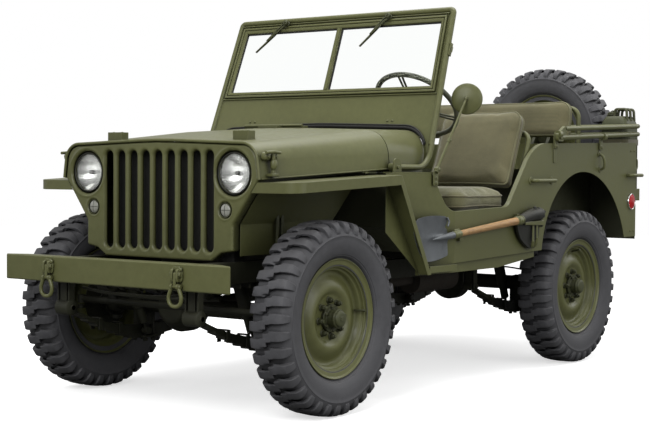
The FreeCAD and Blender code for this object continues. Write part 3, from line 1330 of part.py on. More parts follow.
def shaft_rod(name, radius, reach):
    """A bar on the steering axis from the wheel's centre down by reach."""
    bar = fresh("Part::Cylinder", name)
    bind(bar, "Radius", radius)
    bind(bar, "Height", Size.of(reach))
    tilt = D.steer_rake
    return place(bar, D.steer_x, aft(D.steer_aft) - cosine(tilt) * reach, D.steer_z - sine(tilt) * reach,
                 (1, 0, 0), tilt - 90)


def column_rod(name, radius):
    """A bar on the steering axis from just below the wheel's boss to under the toe board."""
    bar = fresh("Part::Cylinder", name)
    bind(bar, "Radius", radius)
    bind(bar, "Height", D.column_length)
    tilt, reach = D.steer_rake, D.column_length + 31
    return place(bar, D.steer_x, aft(D.steer_aft) - cosine(tilt) * reach, D.steer_z - sine(tilt) * reach,
                 (1, 0, 0), tilt - 90)


def steering():
    """The wheel: a rim on three spokes.  The column runs from it down through the toe board."""
    tilt = D.steer_rake
    x, y, z = D.steer_x, aft(D.steer_aft), D.steer_z
    rim = fresh("Part::Torus", "steering_rim")
    bind(rim, "Radius1", D.steer_radius)
    bind(rim, "Radius2", D.steer_rim)
    parts = [rim]
    for number in range(3):
        spoke = fresh("Part::Cylinder", f"spoke{number}")
        bind(spoke, "Radius", 7)
        bind(spoke, "Height", D.steer_radius)
        turn = FreeCAD.Rotation(FreeCAD.Vector(0, 0, 1), 90 + number * 120)
        spoke.Placement = FreeCAD.Placement(
            FreeCAD.Vector(), turn * FreeCAD.Rotation(FreeCAD.Vector(0, 1, 0), 90))
        parts.append(spoke)
    parts.append(rod("steering_boss", "Z", 0, 0, -30, 46, 30))
    parts.append(rod("steering_shaft", "Z", 0, 0, -100, 90, 9))
    whole = fuse("steering_whole", parts)
    place(whole, x, y, z, (1, 0, 0), tilt - 90)
    node("steering_wheel", whole)
    node("steering_column", cut("column_bored", column_rod("column_tube", D.column_radius),
                                shaft_rod("column_bore_rod", 9 + D.seat_gap, 110)))


def levers():
    """Gear lever, two short transfer levers and the hand brake, standing on the floor tunnel."""
    base = FLOOR_Z + D.sheet
    tunnel = box("lever_plate", (-110, 110), (aft(820), aft(1010)), (base, base + 12))
    pieces = [tunnel]
    for number, (x, y, tall, lean_by) in enumerate(((20, 880, 420, 14), (-50, 930, 260, 10), (-85, 930, 260, 10))):
        lever = fresh("Part::Cylinder", f"lever{number}")
        bind(lever, "Radius", 7)
        bind(lever, "Height", tall)
        place(lever, x, aft(y), base + 4, (1, 0, 0), Size.of(-lean_by))
        knob = ball(f"knob{number}", x, aft(y) + Size.of(tall) * sine(Size.of(lean_by)),
                    base + Size.of(tall) * cosine(Size.of(lean_by)), 18)
        pieces += [lever, knob]
    node("driver_levers", *pieces)


def instrument_panel():
    """A flat panel that fills the cowl's section ahead of the windscreen."""
    body = start_body("panel")
    ahead, front, rear = D.screen_base_aft - 80, D.seam_aft, D.screen_base_aft + 60
    y = aft(ahead)
    share = (ahead - front) / (rear - front)
    top = D.cowl_top_z + (D.cowl_rear_top_z - D.cowl_top_z) * share - D.gap / 6
    shoulder = SEAM_SHOULDER + (D.rear_shoulder - SEAM_SHOULDER) * share
    section = bonnet_section(D.cowl_half, D.cowl_low_z + D.seat_gap, top, shoulder, D.sheet + D.seat_gap * 2)
    pad(body, "XZ_Plane", y - D.sheet, y, section)
    node("instrument_panel", body)


# ----------------------------------------------------------------------------------------------
# Top bows, stores and fittings
# ----------------------------------------------------------------------------------------------
def bow_hoop(name, start, rise, inset):
    """One stowed bow: along both body sides and round behind the tail."""
    half, rear = D.bow_half - inset, aft(D.bow_rear_aft) - inset
    body = tube(name, "XY_Plane", 0, [
        (-half, start), (-half, rear, 60), (half, rear, 60), (half, start)], D.bow_radius)
    angle = slope_angle(D.bow_slope, D.bow_rear_aft - D.bow_pivot_aft)
    y, z = aft(D.bow_pivot_aft), D.bow_pivot_z + rise
    spot = FreeCAD.Rotation(FreeCAD.Vector(1, 0, 0), angle.value)
    body.Placement = FreeCAD.Placement(FreeCAD.Vector(), spot)
    bind(body, "Placement.Base.y", y - y * cosine(angle))
    bind(body, "Placement.Base.z", z - y * sine(angle))
    bind(body, "Placement.Rotation.Angle", angle)
    return body


def top_bows():
    """Two hoops that swing up together from their pivots on the body sides."""
    lower = bow_hoop("lower_bow", aft(D.bow_pivot_aft), ZERO, ZERO)
    upper = bow_hoop("upper_bow", aft(D.bow_pivot_aft) + 60, D.bow_rise, ZERO)
    hub = start_body("bow_hub")
    y, z = aft(D.bow_pivot_aft), D.bow_pivot_z
    pad(hub, "YZ_Plane", D.bow_half - 8, D.bow_half + 8, [
        (y - 20, z - 18, 14), (y + 30, z - 18), (y + 90, z + D.bow_rise + 14), (y + 50, z + D.bow_rise + 14),
        (y - 20, z + 18, 14)])
    bored = cut("bow_hub_bored", hub, rod("bow_bore", "X", D.bow_half - 20, y, z, 40, 8))
    node("top_bows", cut("bows_bored", fuse("bows_solid", [lower, upper, *both("right_bow_hub", hub)]),
                         fuse("bow_bores", both("right_bow_bore", rod("bow_bore2", "X", D.bow_half - 30, y, z, 60, 8)))))


def bow_brackets():
    """Plate and pin on each body side that carry the bows' pivots."""
    y, z = aft(D.bow_pivot_aft), D.bow_pivot_z
    plate = start_body("bow_plate")
    inner = D.body_half + D.seat_gap
    pad(plate, "YZ_Plane", inner, inner + 3, rectangle(y - 16, y + 16, D.side_rear_front_z - 90, z + 16, 8))
    bolt = rod("bow_bolt", "X", inner, y, z, D.bow_half - D.body_half + 16, 7.7)
    return fuse("bow_bracket", [plate, bolt])


def grab_handle(name, y0, y1, z):
    """A bar handle along the body side."""
    half = D.body_half
    return tube(name, "XY_Plane", z, [
        (half, aft(y0)), (half + D.handle_out - D.handle_radius, aft(y0), 18),
        (half + D.handle_out - D.handle_radius, aft(y1), 18), (half, aft(y1))], D.handle_radius)


def tool_clamps():
    """Blocks on the left side that hold the shovel's handle and the axe's head off the body."""
    near = D.body_half + D.seat_gap
    handle = D.fender_outer_x + 6 + D.seat_gap
    blocks = []
    for number, (y, z) in enumerate(((830, 675), (1330, 732))):
        blocks.append(box(f"handle_clamp{number}", (near, handle - 16.5 - D.seat_gap), (aft(y - 14), aft(y + 14)),
                          (z - 24, z + 24)))
    blocks.append(box("head_clamp", (near, D.body_half + 12 - D.seat_gap), (aft(1465), aft(1535)), (675, 740)))
    return blocks


def body_fittings():
    """Handles, bow brackets, windscreen pivots and, on the left, the clamps for the tools."""
    pieces = [grab_handle("front_handle", 1470, 1671, 908)]
    pieces.append(tube("tail_handle", "YZ_Plane", 690, [
        (aft(D.tub_rear_aft), 1022), (aft(2684), 1022, 20), (aft(2684), 962, 20), (aft(D.tub_rear_aft), 962)],
        D.handle_radius))
    pieces += [bow_brackets(), screen_pivots()]
    left = fuse("left_fittings", pieces)
    corner = tube("corner_handle", "XY_Plane", 933, [
        (D.body_half, aft(2515)), (D.body_half + 30, aft(2515), 16), (D.body_half + 30, aft(2625 + 34), 30),
        (D.body_half - 40, aft(2625 + 34), 16), (D.body_half - 40, aft(D.tub_rear_aft))], D.handle_radius)
    node("corner_handles", *both("right_corner_handle", corner))
    node("body_fittings", *both("right_fittings", left), *tool_clamps())


def spare():
    """Spare tyre and wheel on a two-armed carrier behind the tail."""
    tyre = start_body("spare_tyre_body")
    revolve(tyre, "YZ_Plane", "H_Axis", tyre_profile())
    disc = start_body("spare_disc")
    revolve(disc, "YZ_Plane", "H_Axis", rim_profile())
    for body in (tyre, disc):
        place(body, D.spare_x, aft(D.spare_aft), D.spare_z)
    node("spare_tyre", tyre)
    node("spare_wheel", disc)
    back = aft(D.tub_rear_aft)
    flat = aft(D.spare_aft) + D.disc_face_out - D.disc_wall
    plate = rod("carrier_plate", "Y", D.spare_x, flat - 12, D.spare_z - 0, 12 - 0.3, D.disc_face_radius - 6)
    stem = rod("carrier_stem", "Y", D.spare_x, flat - 60, D.spare_z, 50, 40)
    arms = []
    for side in (-1, 1):
        arm = start_body(f"carrier_arm{side}")
        x = D.spare_x + 46 * side
        pad(arm, "YZ_Plane", x - 9, x + 9, [
            (back, 840), (flat - 58, D.spare_z - 36), (flat - 24, D.spare_z - 30), (flat - 24, D.spare_z + 30),
            (flat - 60, D.spare_z + 30), (back, 1000)])
        arms.append(arm)
    node("spare_wheel_carrier", plate, stem, *arms)


def fuel_can():
    """The can with its shoulder, cap and three-bar handle, and its strap rack on the tail."""
    front, rear = aft(D.can_front_aft), aft(D.can_front_aft + D.can_depth)
    left, right = D.can_x - D.can_half, D.can_x + D.can_half
    can = start_body("can")
    pad(can, "XY_Plane", D.can_low_z, D.can_high_z, rectangle(left, right, front, rear, 28))
    cap = rod("can_cap", "Z", D.can_x - 30, (front + rear) / 2, D.can_high_z, 30, 22)
    bars = []
    for number, offset in enumerate((-45, 0, 45)):
        y = (front + rear) / 2 + offset
        bars.append(tube(f"can_bar{number}", "XZ_Plane", -y, [
            (D.can_x - 2, D.can_high_z - 4), (D.can_x + 2, D.can_high_z + 34, 10),
            (right - 12, D.can_high_z + 34, 10), (right - 10, D.can_high_z - 4)], 6))
    node("fuel_can", can, cap, *bars)
    back = aft(D.tub_rear_aft)
    tray = start_body("can_tray")
    low = D.can_low_z - D.seat_gap
    pad(tray, "XY_Plane", low - 4, low + 60, rectangle(left - 5, right + 5, back, rear + 5))
    pocket(tray, "XY_Plane", low, low + 61, rectangle(left - 1, right + 1, front - 1, rear + 1))
    node("fuel_can_rack", tray)


def rear_end():
    """Bumperettes and the pintle on the rear cross member, and the tail lamps."""
    back = aft(D.rail_rear_aft)
    post = box("bumperette", (D.rail_x - 110, D.rail_x + 110), (back, back + 60), (D.rail_ends_z, D.rail_ends_z + 84))
    node("rear_bumperettes", *both("right_bumperette", post))
    z = D.rail_ends_z + 42
    shank = rod("pintle_shank", "Y", 0, back, z, 40, 22)
    plate = box("pintle_plate", (-60, 60), (back, back + 12), (z - 42, z + 42))
    hook = start_body("pintle_hook")
    y = back + 78
    pad(hook, "YZ_Plane", -18, 18, [
        (y - 45, z - 30, 10), (y + 35, z - 30, 26), (y + 35, z + 32, 8), (y + 16, z + 32, 6),
        (y + 14, z - 2, 12), (y - 12, z - 2, 12), (y - 14, z + 34, 6), (y - 45, z + 34, 10)])
    jaw = box("pintle_jaw", (-12, 12), (y - 30, y + 34), (z + 34, z + 46))
    node("tow_pintle", shank, plate, hook, jaw)
    lamp = rod("tail_lamp", "Y", 610, aft(D.tub_rear_aft), 735, 30, 28)
    reflector = rod("side_reflector", "X", D.body_half, aft(2565), 795, 8, 40)
    node("rear_lamps", *both("right_tail_lamp", lamp), *both("right_reflector", reflector))


def mirror():
    """A round head on an arm from the cowl side."""
    x, y, z = D.mirror_x, aft(D.mirror_aft), D.mirror_z
    head = start_body("mirror_head")
    revolve(head, "YZ_Plane", "H_Axis", [(-14, ZERO), (-12, 40), (6, D.mirror_radius), (12, D.mirror_radius), (12, ZERO)])
    place(head, x, y, z, (0, 0, 1), 24)
    foot_y, foot_z = aft(662), Size.of(955)
    run, rise = y - 12 - foot_y, z - foot_z
    tilt = slope_angle(run, rise)
    arm = fresh("Part::Cylinder", "mirror_arm")
    bind(arm, "Radius", 8)
    bind(arm, "Height", root(run * run + rise * rise))
    place(arm, side_half_at(680) + 9, foot_y, foot_z, (1, 0, 0), -tilt)
    inner = side_half_at(680) + D.seat_gap
    foot = box("mirror_foot", (inner, inner + 14), (foot_y - 18, foot_y + 18), (890, 968))
    node("mirror", head, arm, foot)


def side_bar(name, x, y0, z0, y1, z1, radius):
    """A straight bar beside the body between two places in the side view."""
    run, rise = aft(y1) - aft(y0), Size.of(z1) - z0
    bar = fresh("Part::Cylinder", name)
    bind(bar, "Radius", radius)
    bind(bar, "Height", root(run * run + rise * rise))
    return place(bar, x, aft(y0), z0, (1, 0, 0), slope_angle(rise, run) - 90)


def pioneer_tools():
    """Shovel and axe, strapped to the left body side one behind the other."""
    x = D.fender_outer_x + 3 + D.seat_gap
    blade = start_body("shovel_blade")
    pad(blade, "YZ_Plane", x - 3, x + 2, [
        (aft(476), 668, 60), (aft(500), 580, 50), (aft(560), 565, 60), (aft(645), 590, 40), (aft(645), 735, 20),
        (aft(560), 762, 60), (aft(490), 745, 50)])
    socket = side_bar("shovel_socket", x + 3, 585, 646, 790, 670, 15)
    handle = side_bar("shovel_handle", x + 3, 700, 660, 1400, 740, 16.5)
    node("shovel", blade, socket, handle)
    head = start_body("axe_head")
    pad(head, "YZ_Plane", D.body_half + 12, D.body_half + 46, [
        (aft(1418), 778, 8), (aft(1565), 790, 12), (aft(1575), 740, 12), (aft(1555), 640, 30), (aft(1490), 600, 30),
        (aft(1440), 655, 20), (aft(1424), 720, 10)])
    node("axe", cut("axe_clear", head, side_bar("axe_notch", x + 3, 700, 660, 1400, 740, 17.5)))


# ----------------------------------------------------------------------------------------------
# Write the files
# ----------------------------------------------------------------------------------------------
def check_and_write():
    """Stops at any failed object, then writes each sub-part to its own file."""
    doc.recompute()
    failed = [item.Name for item in doc.Objects if {"Invalid", "Error"} & set(item.State)]
    bad = [item.Label for item in NODES if item.Shape.isNull() or not item.Shape.isValid()]
    if failed or bad:
        raise RuntimeError(f"failed objects {failed}, bad shapes {bad}")
    os.makedirs("parts", exist_ok=True)
    for item in NODES:
        item.Shape.exportStep(os.path.join("parts", f"{item.Label}.step"))


chassis_frame()
front_bumper()
tow_shackles()
leaf_springs()
front_axle()
rear_axle()
knuckle("left_knuckle", 1)
knuckle("right_knuckle", -1)
tie_rod()
wheels()
side_panels()
rear_panel()
floor_pan()
wheel_boxes()
hood()
cowl()
grille()
fenders()
front_lamps()
windscreen()
engine_bay()
seats()
steering()
levers()
instrument_panel()
top_bows()
body_fittings()
spare()
fuel_can()
rear_end()
mirror()
pioneer_tools()
check_and_write()
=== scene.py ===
import bpy, bmesh, json, math, random
import numpy as np
from mathutils import Vector, Matrix
from mathutils.bvhtree import BVHTree


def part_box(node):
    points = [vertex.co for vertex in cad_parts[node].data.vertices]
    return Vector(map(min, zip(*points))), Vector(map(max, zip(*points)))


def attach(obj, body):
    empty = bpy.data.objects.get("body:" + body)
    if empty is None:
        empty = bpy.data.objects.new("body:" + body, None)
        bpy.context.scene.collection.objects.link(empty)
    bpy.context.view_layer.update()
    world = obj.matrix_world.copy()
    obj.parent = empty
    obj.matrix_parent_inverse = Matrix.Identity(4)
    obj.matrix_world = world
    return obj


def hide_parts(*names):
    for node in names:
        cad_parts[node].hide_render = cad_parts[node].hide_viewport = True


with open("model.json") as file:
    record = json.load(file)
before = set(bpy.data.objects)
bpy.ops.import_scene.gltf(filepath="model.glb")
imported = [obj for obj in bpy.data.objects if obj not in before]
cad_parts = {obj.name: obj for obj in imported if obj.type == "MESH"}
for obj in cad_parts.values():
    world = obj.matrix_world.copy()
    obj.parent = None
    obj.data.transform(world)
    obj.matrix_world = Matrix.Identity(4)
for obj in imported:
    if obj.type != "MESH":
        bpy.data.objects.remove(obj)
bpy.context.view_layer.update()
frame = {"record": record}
SCENE = bpy.context.scene
FRONT = -1.1585                              # frame y of the front axle, in metres
HALF_TRACK, TYRE_RADIUS = 0.6225, 0.38       # metres
WHEELBASE = 2032                             # millimetres
AXES = {"X": Vector((1, 0, 0)), "Y": Vector((0, 1, 0)), "Z": Vector((0, 0, 1))}
OUT = {side: Vector((side, 0, 0)) for side in (1, -1)}
FORE, DOWN = Vector((0, -1, 0)), Vector((0, 0, -1))


def aft(mm):
    """Frame y, in metres, of a place this many millimetres behind the front axle."""
    return FRONT + mm / 1000


# ---- Camera, light and floor ----
def camera():
    """A long lens at axle height, looking at the front and the left side."""
    data = bpy.data.cameras.new("camera")
    data.lens, data.sensor_width = 79.1, 36.0
    data.clip_end = 100
    cam = bpy.data.objects.new("camera", data)
    SCENE.collection.objects.link(cam)
    az, el, roll = (math.radians(v) for v in (36.7, 1.908, 0.34))
    ahead = Vector((-math.sin(az) * math.cos(el), math.cos(az) * math.cos(el), -math.sin(el)))
    right = Vector((math.cos(az), math.sin(az), 0))
    up = right.cross(ahead)
    turned_right = right * math.cos(roll) + up * math.sin(roll)
    turned_up = up * math.cos(roll) - right * math.sin(roll)
    m = Matrix((turned_right, turned_up, -ahead)).transposed().to_4x4()
    m.translation = Vector((3.921, -4.431 + FRONT, 0.957))
    cam.matrix_world = m
    SCENE.camera = cam


class Nodes:
    """The node tree of a new material or world, with short calls for adding and joining nodes."""

    def __init__(self, name, kind="materials", shader="Principled BSDF"):
        self.mat = getattr(bpy.data, kind).new(name)
        self.mat.use_nodes = True
        self.tree = self.mat.node_tree
        self.shader = self.tree.nodes[shader]

    def put(self, key, value, node=None):
        """Gives an input of a node, or else of the shader, a value or a link."""
        place = (node or self.shader).inputs[key]
        if isinstance(value, bpy.types.NodeSocket):
            self.tree.links.new(value, place)
        else:
            place.default_value = value

    def add(self, kind, inputs=(), **settings):
        node = self.tree.nodes.new("ShaderNode" + kind)
        for key, value in settings.items():
            setattr(node, key, value)
        for key, value in dict(inputs).items():
            self.put(key, value, node)
        return node

    def where(self):
        return self.add("TexCoord").outputs["Object"]

    def noise(self, where, scale, detail=3.0, rough=0.55):
        return self.add("TexNoise", {"Vector": where, "Scale": scale, "Detail": detail,
                                     "Roughness": rough}).outputs["Fac"]

    def wave(self, where, pitch, **settings):
        """Stripes one pitch apart; at a scale of 1 the texture repeats every 0.314 m."""
        inputs = {"Vector": where, "Scale": 0.314 / pitch, "Distortion": 0.0}
        inputs.update(settings.pop("inputs", {}))
        return self.add("TexWave", inputs, **settings).outputs["Fac"]

    def open_sky(self, distance):
        """1 on open surfaces, falling to 0 in corners up to this distance across."""
        return self.add("AmbientOcclusion", {"Distance": distance}, samples=4).outputs["AO"]

    def spread(self, value, low, high, to_low=0.0, to_high=1.0):
        return self.add("MapRange", {"Value": value, "From Min": low, "From Max": high,
                                     "To Min": to_low, "To Max": to_high}).outputs["Result"]

    def mix(self, share, a, b):
        return self.add("Mix", {0: share, 6: a, 7: b}, data_type="RGBA").outputs[2]

    def maths(self, kind, a, b=0.0):
        return self.add("Math", {0: a, 1: b}, operation=kind).outputs[0]

    def bump(self, height, strength, distance, **under):
        return self.add("Bump", {"Height": height, "Strength": strength, "Distance": distance,
                                 **under}).outputs["Normal"]


def rgb(r, g, b):
    """Linear colour from 0-255 screen values."""
    def lin(v):
        v /= 255
        return v / 12.92 if v <= 0.04045 else ((v + 0.055) / 1.055) ** 2.4
    return (lin(r), lin(g), lin(b), 1.0)


def scaled(colour, k):
    return (colour[0] * k, colour[1] * k, colour[2] * k, 1.0)


def surface(name, colour, rough=(0.4, 0.55), metallic=0.0, bevel=0.0025, wear=None, dust=0.25, grain=700,
            grain_depth=0.00015, mottle=0.12, dust_colour=(0.3, 0.28, 0.22, 1), corner_shade=0.55, soot_and_shade=0.0,
            gloss=0.5):
    """A painted or bare surface: mottled colour, dusty tops, painted shade in corners, worn edges, fine
    grain.

    The corner setting paints shade into small corners, and the hollow setting darkens the sheltered hollows
    under the car, partly as road grime and partly as painted shade.
    """
    n = Nodes(name)
    where = n.where()
    round_edge = n.add("Bevel", {"Radius": bevel}, samples=4).outputs["Normal"]
    flat = n.add("NewGeometry").outputs["Normal"]
    big = n.noise(where, 2.3, 4.0)
    small = n.noise(where, 38.0, 5.0, 0.65)
    tone = n.maths("ADD", n.spread(big, 0.3, 0.7), n.spread(small, 0.3, 0.7))
    base = n.mix(n.spread(tone, 0.2, 1.8), scaled(colour, 1 - mottle), scaled(colour, 1 + mottle))
    up = n.add("SeparateXYZ", {0: flat}).outputs["Z"]
    dusty = n.maths("MULTIPLY", n.spread(up, 0.35, 1.0), n.spread(small, 0.35, 0.75, 0.35, 1.0))
    base = n.mix(n.maths("MULTIPLY", dusty, dust), base, dust_colour)
    # painted shade: small corners darkened by ambient occlusion
    if corner_shade:
        base = n.mix(n.spread(n.open_sky(0.06), 0.25, 0.85, corner_shade, 0.0), base, scaled(colour, 0.28))
    # road grime and painted shade: sheltered hollows under the car darkened by ambient occlusion
    if soot_and_shade:
        base = n.mix(n.spread(n.open_sky(0.55), 0.2, 0.62, soot_and_shade, 0.0), base, scaled(colour, 0.14))
    if wear:
        turn = n.add("VectorMath", {0: round_edge, 1: flat}, operation="DOT_PRODUCT").outputs["Value"]
        patchy = n.spread(n.noise(where, 22.0, 4.0), 0.45, 0.7)
        edge = n.maths("MULTIPLY", n.spread(turn, 0.97, 0.86), patchy)
        base = n.mix(n.maths("MULTIPLY", edge, 0.6), base, wear)
    n.put("Base Color", base)
    n.put("Roughness", n.spread(small, 0.3, 0.7, *rough))
    n.put("Metallic", metallic)
    n.put("Specular IOR Level", gloss)
    n.put("Normal", n.bump(n.noise(where, grain, 2.0), 0.6, grain_depth, Normal=round_edge))
    return n


def canvas(name, colour, light, pitch=0.0022):
    """Woven duck cloth: crossing threads, fibres, faded and soiled patches, painted shade in its creases and
    a soft sheen.
    """
    n = Nodes(name)
    where = n.where()
    quarter = 1.5708
    heights = []
    for turn in ((0.0, 0.0, 0.0), (0.0, 0.0, quarter), (0.0, quarter, 0.0)):
        spun = n.add("Mapping", {"Vector": where, "Rotation": turn}).outputs["Vector"]
        heights.append(n.wave(spun, pitch, inputs={"Distortion": 0.6, "Detail": 1.0, "Detail Scale": 2.0}))
    weave = n.maths("MULTIPLY", n.maths("ADD", n.maths("ADD", heights[0], heights[1]), heights[2]), 0.333)
    fibre = n.noise(where, 260.0, 3.0)
    cloth = n.mix(n.spread(n.noise(where, 5.0, 4.0), 0.32, 0.68), scaled(colour, 0.86), light)
    cloth = n.mix(n.spread(weave, 0.3, 0.7, 0.35, 0.0), cloth, scaled(colour, 0.55))
    cloth = n.mix(n.spread(fibre, 0.45, 0.75, 0.0, 0.3), cloth, scaled(light, 1.3))
    # painted shade: the cloth darkened in its creases and corners by ambient occlusion
    cloth = n.mix(n.spread(n.open_sky(0.05), 0.3, 0.9, 0.45, 0.0), cloth, scaled(colour, 0.4))
    n.put("Base Color", cloth)
    n.put("Roughness", n.spread(fibre, 0.3, 0.7, 0.82, 0.95))
    n.put("Sheen Weight", 0.25)
    n.put("Sheen Roughness", 0.5)
    rumple = n.bump(n.noise(where, 28.0, 3.0), 0.25, 0.004)
    n.put("Normal", n.bump(weave, 0.5, 0.0006, Normal=rumple))
    return n


def rubber(name, colour):
    """Tyre rubber: bloomed grey-black with dust in the tread and fine moulding grain."""
    return surface(name, colour, rough=(0.5, 0.68), bevel=0.0028, wear=scaled(colour, 2.6), dust=0.12,
                   grain=420, grain_depth=0.0004, mottle=0.22, dust_colour=rgb(118, 112, 104), corner_shade=0.75,
                   gloss=0.42)


def wood(name):
    """Oiled ash with streaky grain along the handle, darkened by hands."""
    n = Nodes(name)
    where = n.where()
    along = n.add("Mapping", {"Vector": where, "Scale": (90.0, 3.0, 90.0)}).outputs["Vector"]
    streaks = n.noise(along, 3.0, 6.0, 0.7)
    spots = n.noise(where, 30.0, 4.0)
    colour = n.mix(n.spread(streaks, 0.3, 0.7), rgb(120, 88, 52), rgb(184, 146, 96))
    n.put("Base Color", n.mix(n.spread(spots, 0.55, 0.8, 0.0, 0.55), colour, rgb(84, 62, 40)))
    n.put("Roughness", n.spread(streaks, 0.3, 0.7, 0.42, 0.62))
    n.put("Normal", n.bump(streaks, 0.4, 0.0006))
    return n


def clear_glass(name, tint, ior=1.08, ribs=None):
    """Clear glass with faint waviness; ribs gives the pitch of a lamp lens's flutes."""
    n = Nodes(name)
    where = n.where()
    n.put("Base Color", tint)
    n.put("Transmission Weight", 1.0)
    n.put("IOR", ior)
    height, depth = n.noise(where, 9.0, 2.0), 0.0002
    if ribs:
        across = n.wave(where, 3.14 * ribs, bands_direction="Z")
        height = n.maths("ADD", n.wave(where, ribs, bands_direction="X"), n.maths("MULTIPLY", across, 0.4))
        depth = 0.0012
    n.put("Roughness", n.spread(n.noise(where, 60.0), 0.3, 0.8, 0.0, 0.06))
    n.put("Normal", n.bump(height, 0.5, depth))
    return n


def stage():
    """Pale floor that keeps the shadow, white surroundings and soft lamps from above."""
    n = Nodes("studio_floor")
    rays = n.add("LightPath").outputs
    seen = n.maths("MAXIMUM", rays["Is Camera Ray"], rays["Is Transmission Ray"])
    tone = n.mix(n.noise(n.where(), 3.0), (0.93, 0.93, 0.93, 1), (0.95, 0.95, 0.95, 1))
    n.put("Base Color", n.mix(seen, (0.17, 0.17, 0.165, 1), tone))
    n.put("Roughness", 0.9)
    n.put("Specular IOR Level", 0.0)
    n.put("Emission Color", (1, 1, 1, 1))
    n.put("Emission Strength", n.maths("MULTIPLY", seen, 0.6))
    mesh = bpy.data.meshes.new("studio_floor")
    reach = 14.0
    mesh.from_pydata([(x, y, 0) for x, y in rect(-reach, -reach, reach, reach)], [], [(0, 1, 2, 3)])
    floor = bpy.data.objects.new("studio_floor", mesh)
    SCENE.collection.objects.link(floor)
    mesh.materials.append(n.mat)
    SCENE.view_settings.view_transform = "Standard"
    sky = Nodes("studio", "worlds", "Background")
    SCENE.world = sky.mat
    rays = sky.add("LightPath").outputs
    seen = sky.maths("MAXIMUM", rays["Is Camera Ray"], rays["Is Transmission Ray"])
    sky.put("Strength", sky.spread(seen, 0.0, 1.0, 0.48, 1.0))
    sky.put("Color", (1, 1, 1, 1))
    for name, spot, aim, size, power in (
            ("key", (1.6, -5.0, 3.0), (0.0, -0.6, 0.6), 2.6, 118),
            ("side", (5.2, -0.8, 2.2), (0.4, 0.0, 0.6), 3.2, 62),
            ("fill", (-4.6, -3.2, 2.4), (0.0, -0.5, 0.6), 3.0, 25),
            ("top", (0.2, 0.2, 4.4), (0.1, 0.0, 0.6), 4.2, 150),
            ("back", (2.6, 4.6, 3.2), (0.2, 0.6, 0.8), 3.0, 50)):
        data = bpy.data.lights.new(name, "AREA")
        data.shape, data.size, data.energy = "DISK", size, power
        lamp = bpy.data.objects.new(name, data)
        SCENE.collection.objects.link(lamp)
        lamp.location = spot
        lamp.rotation_euler = (Vector(aim) - Vector(spot)).to_track_quat("-Z", "Y").to_euler()


# ---- Mesh building ----
def rect(x0, y0, x1, y1):
    """The corners of a rectangle, anticlockwise from the lowest."""
    return [(x0, y0), (x1, y0), (x1, y1), (x0, y1)]


def soft_rect(x0, y0, x1, y1, low, high=None, step=12.0):
    """A rectangle with rounded corners, whose radius may differ on its high side."""
    bends = (low, low, high or low, high or low)
    return rounded([(*corner, bend) for corner, bend in zip(rect(x0, y0, x1, y1), bends)], step)


def bands(n, rows, joined=False):
    """The faces between rows of n points, where every row closes on itself."""
    faces = []
    for r in range(rows if joined else rows - 1):
        a, b = r * n, (r + 1) % rows * n
        faces += [(a + k, a + (k + 1) % n, b + (k + 1) % n, b + k) for k in range(n)]
    return faces


def turned(axis):
    """Rotation that takes +Z to the axis."""
    direction = AXES[axis] if isinstance(axis, str) else axis
    return direction.to_track_quat("Z", "Y").to_matrix().to_4x4()


def rounded(points, step=12.0):
    """A smooth outline from points (a, b[, radius]): each bend becomes an arc."""
    out, count = [], len(points)
    for i, (a, b, *bend) in enumerate(points):
        here = Vector((a, b))
        if not bend or not bend[0]:
            out.append(here)
            continue
        before = (Vector(points[i - 1][:2]) - here).normalized()
        after = (Vector(points[(i + 1) % count][:2]) - here).normalized()
        half = before.angle(after) / 2
        radius = bend[0]
        reach = radius / math.tan(half)
        centre = here + (before + after).normalized() * radius / math.sin(half)
        start, end = here + before * reach - centre, here + after * reach - centre
        sweep = start.angle_signed(end)
        pieces = max(2, int(abs(math.degrees(sweep)) / step) + 1)
        for k in range(pieces + 1):
            turn = -sweep * k / pieces
            c, s = math.cos(turn), math.sin(turn)
            out.append(centre + Vector((start.x * c - start.y * s, start.x * s + start.y * c)))
    return out


def smooth_path(points, per=8, closed=False):
    """Catmull-Rom curve through 3-D points."""
    pts = [Vector(p) for p in points]
    n = len(pts)
    out = []
    for i in range(n if closed else n - 1):
        p0 = pts[i - 1] if closed or i else pts[0]
        p1, p2 = pts[i], pts[(i + 1) % n]
        p3 = pts[(i + 2) % n] if closed or i + 2 < n else pts[-1]
        for k in range(per):
            t = k / per
            out.append(0.5 * ((2 * p1) + (p2 - p0) * t + (2 * p0 - 5 * p1 + 4 * p2 - p3) * t * t
                              + (3 * p1 - p0 - 3 * p2 + p3) * t ** 3))
    if not closed:
        out.append(pts[-1])
    return out


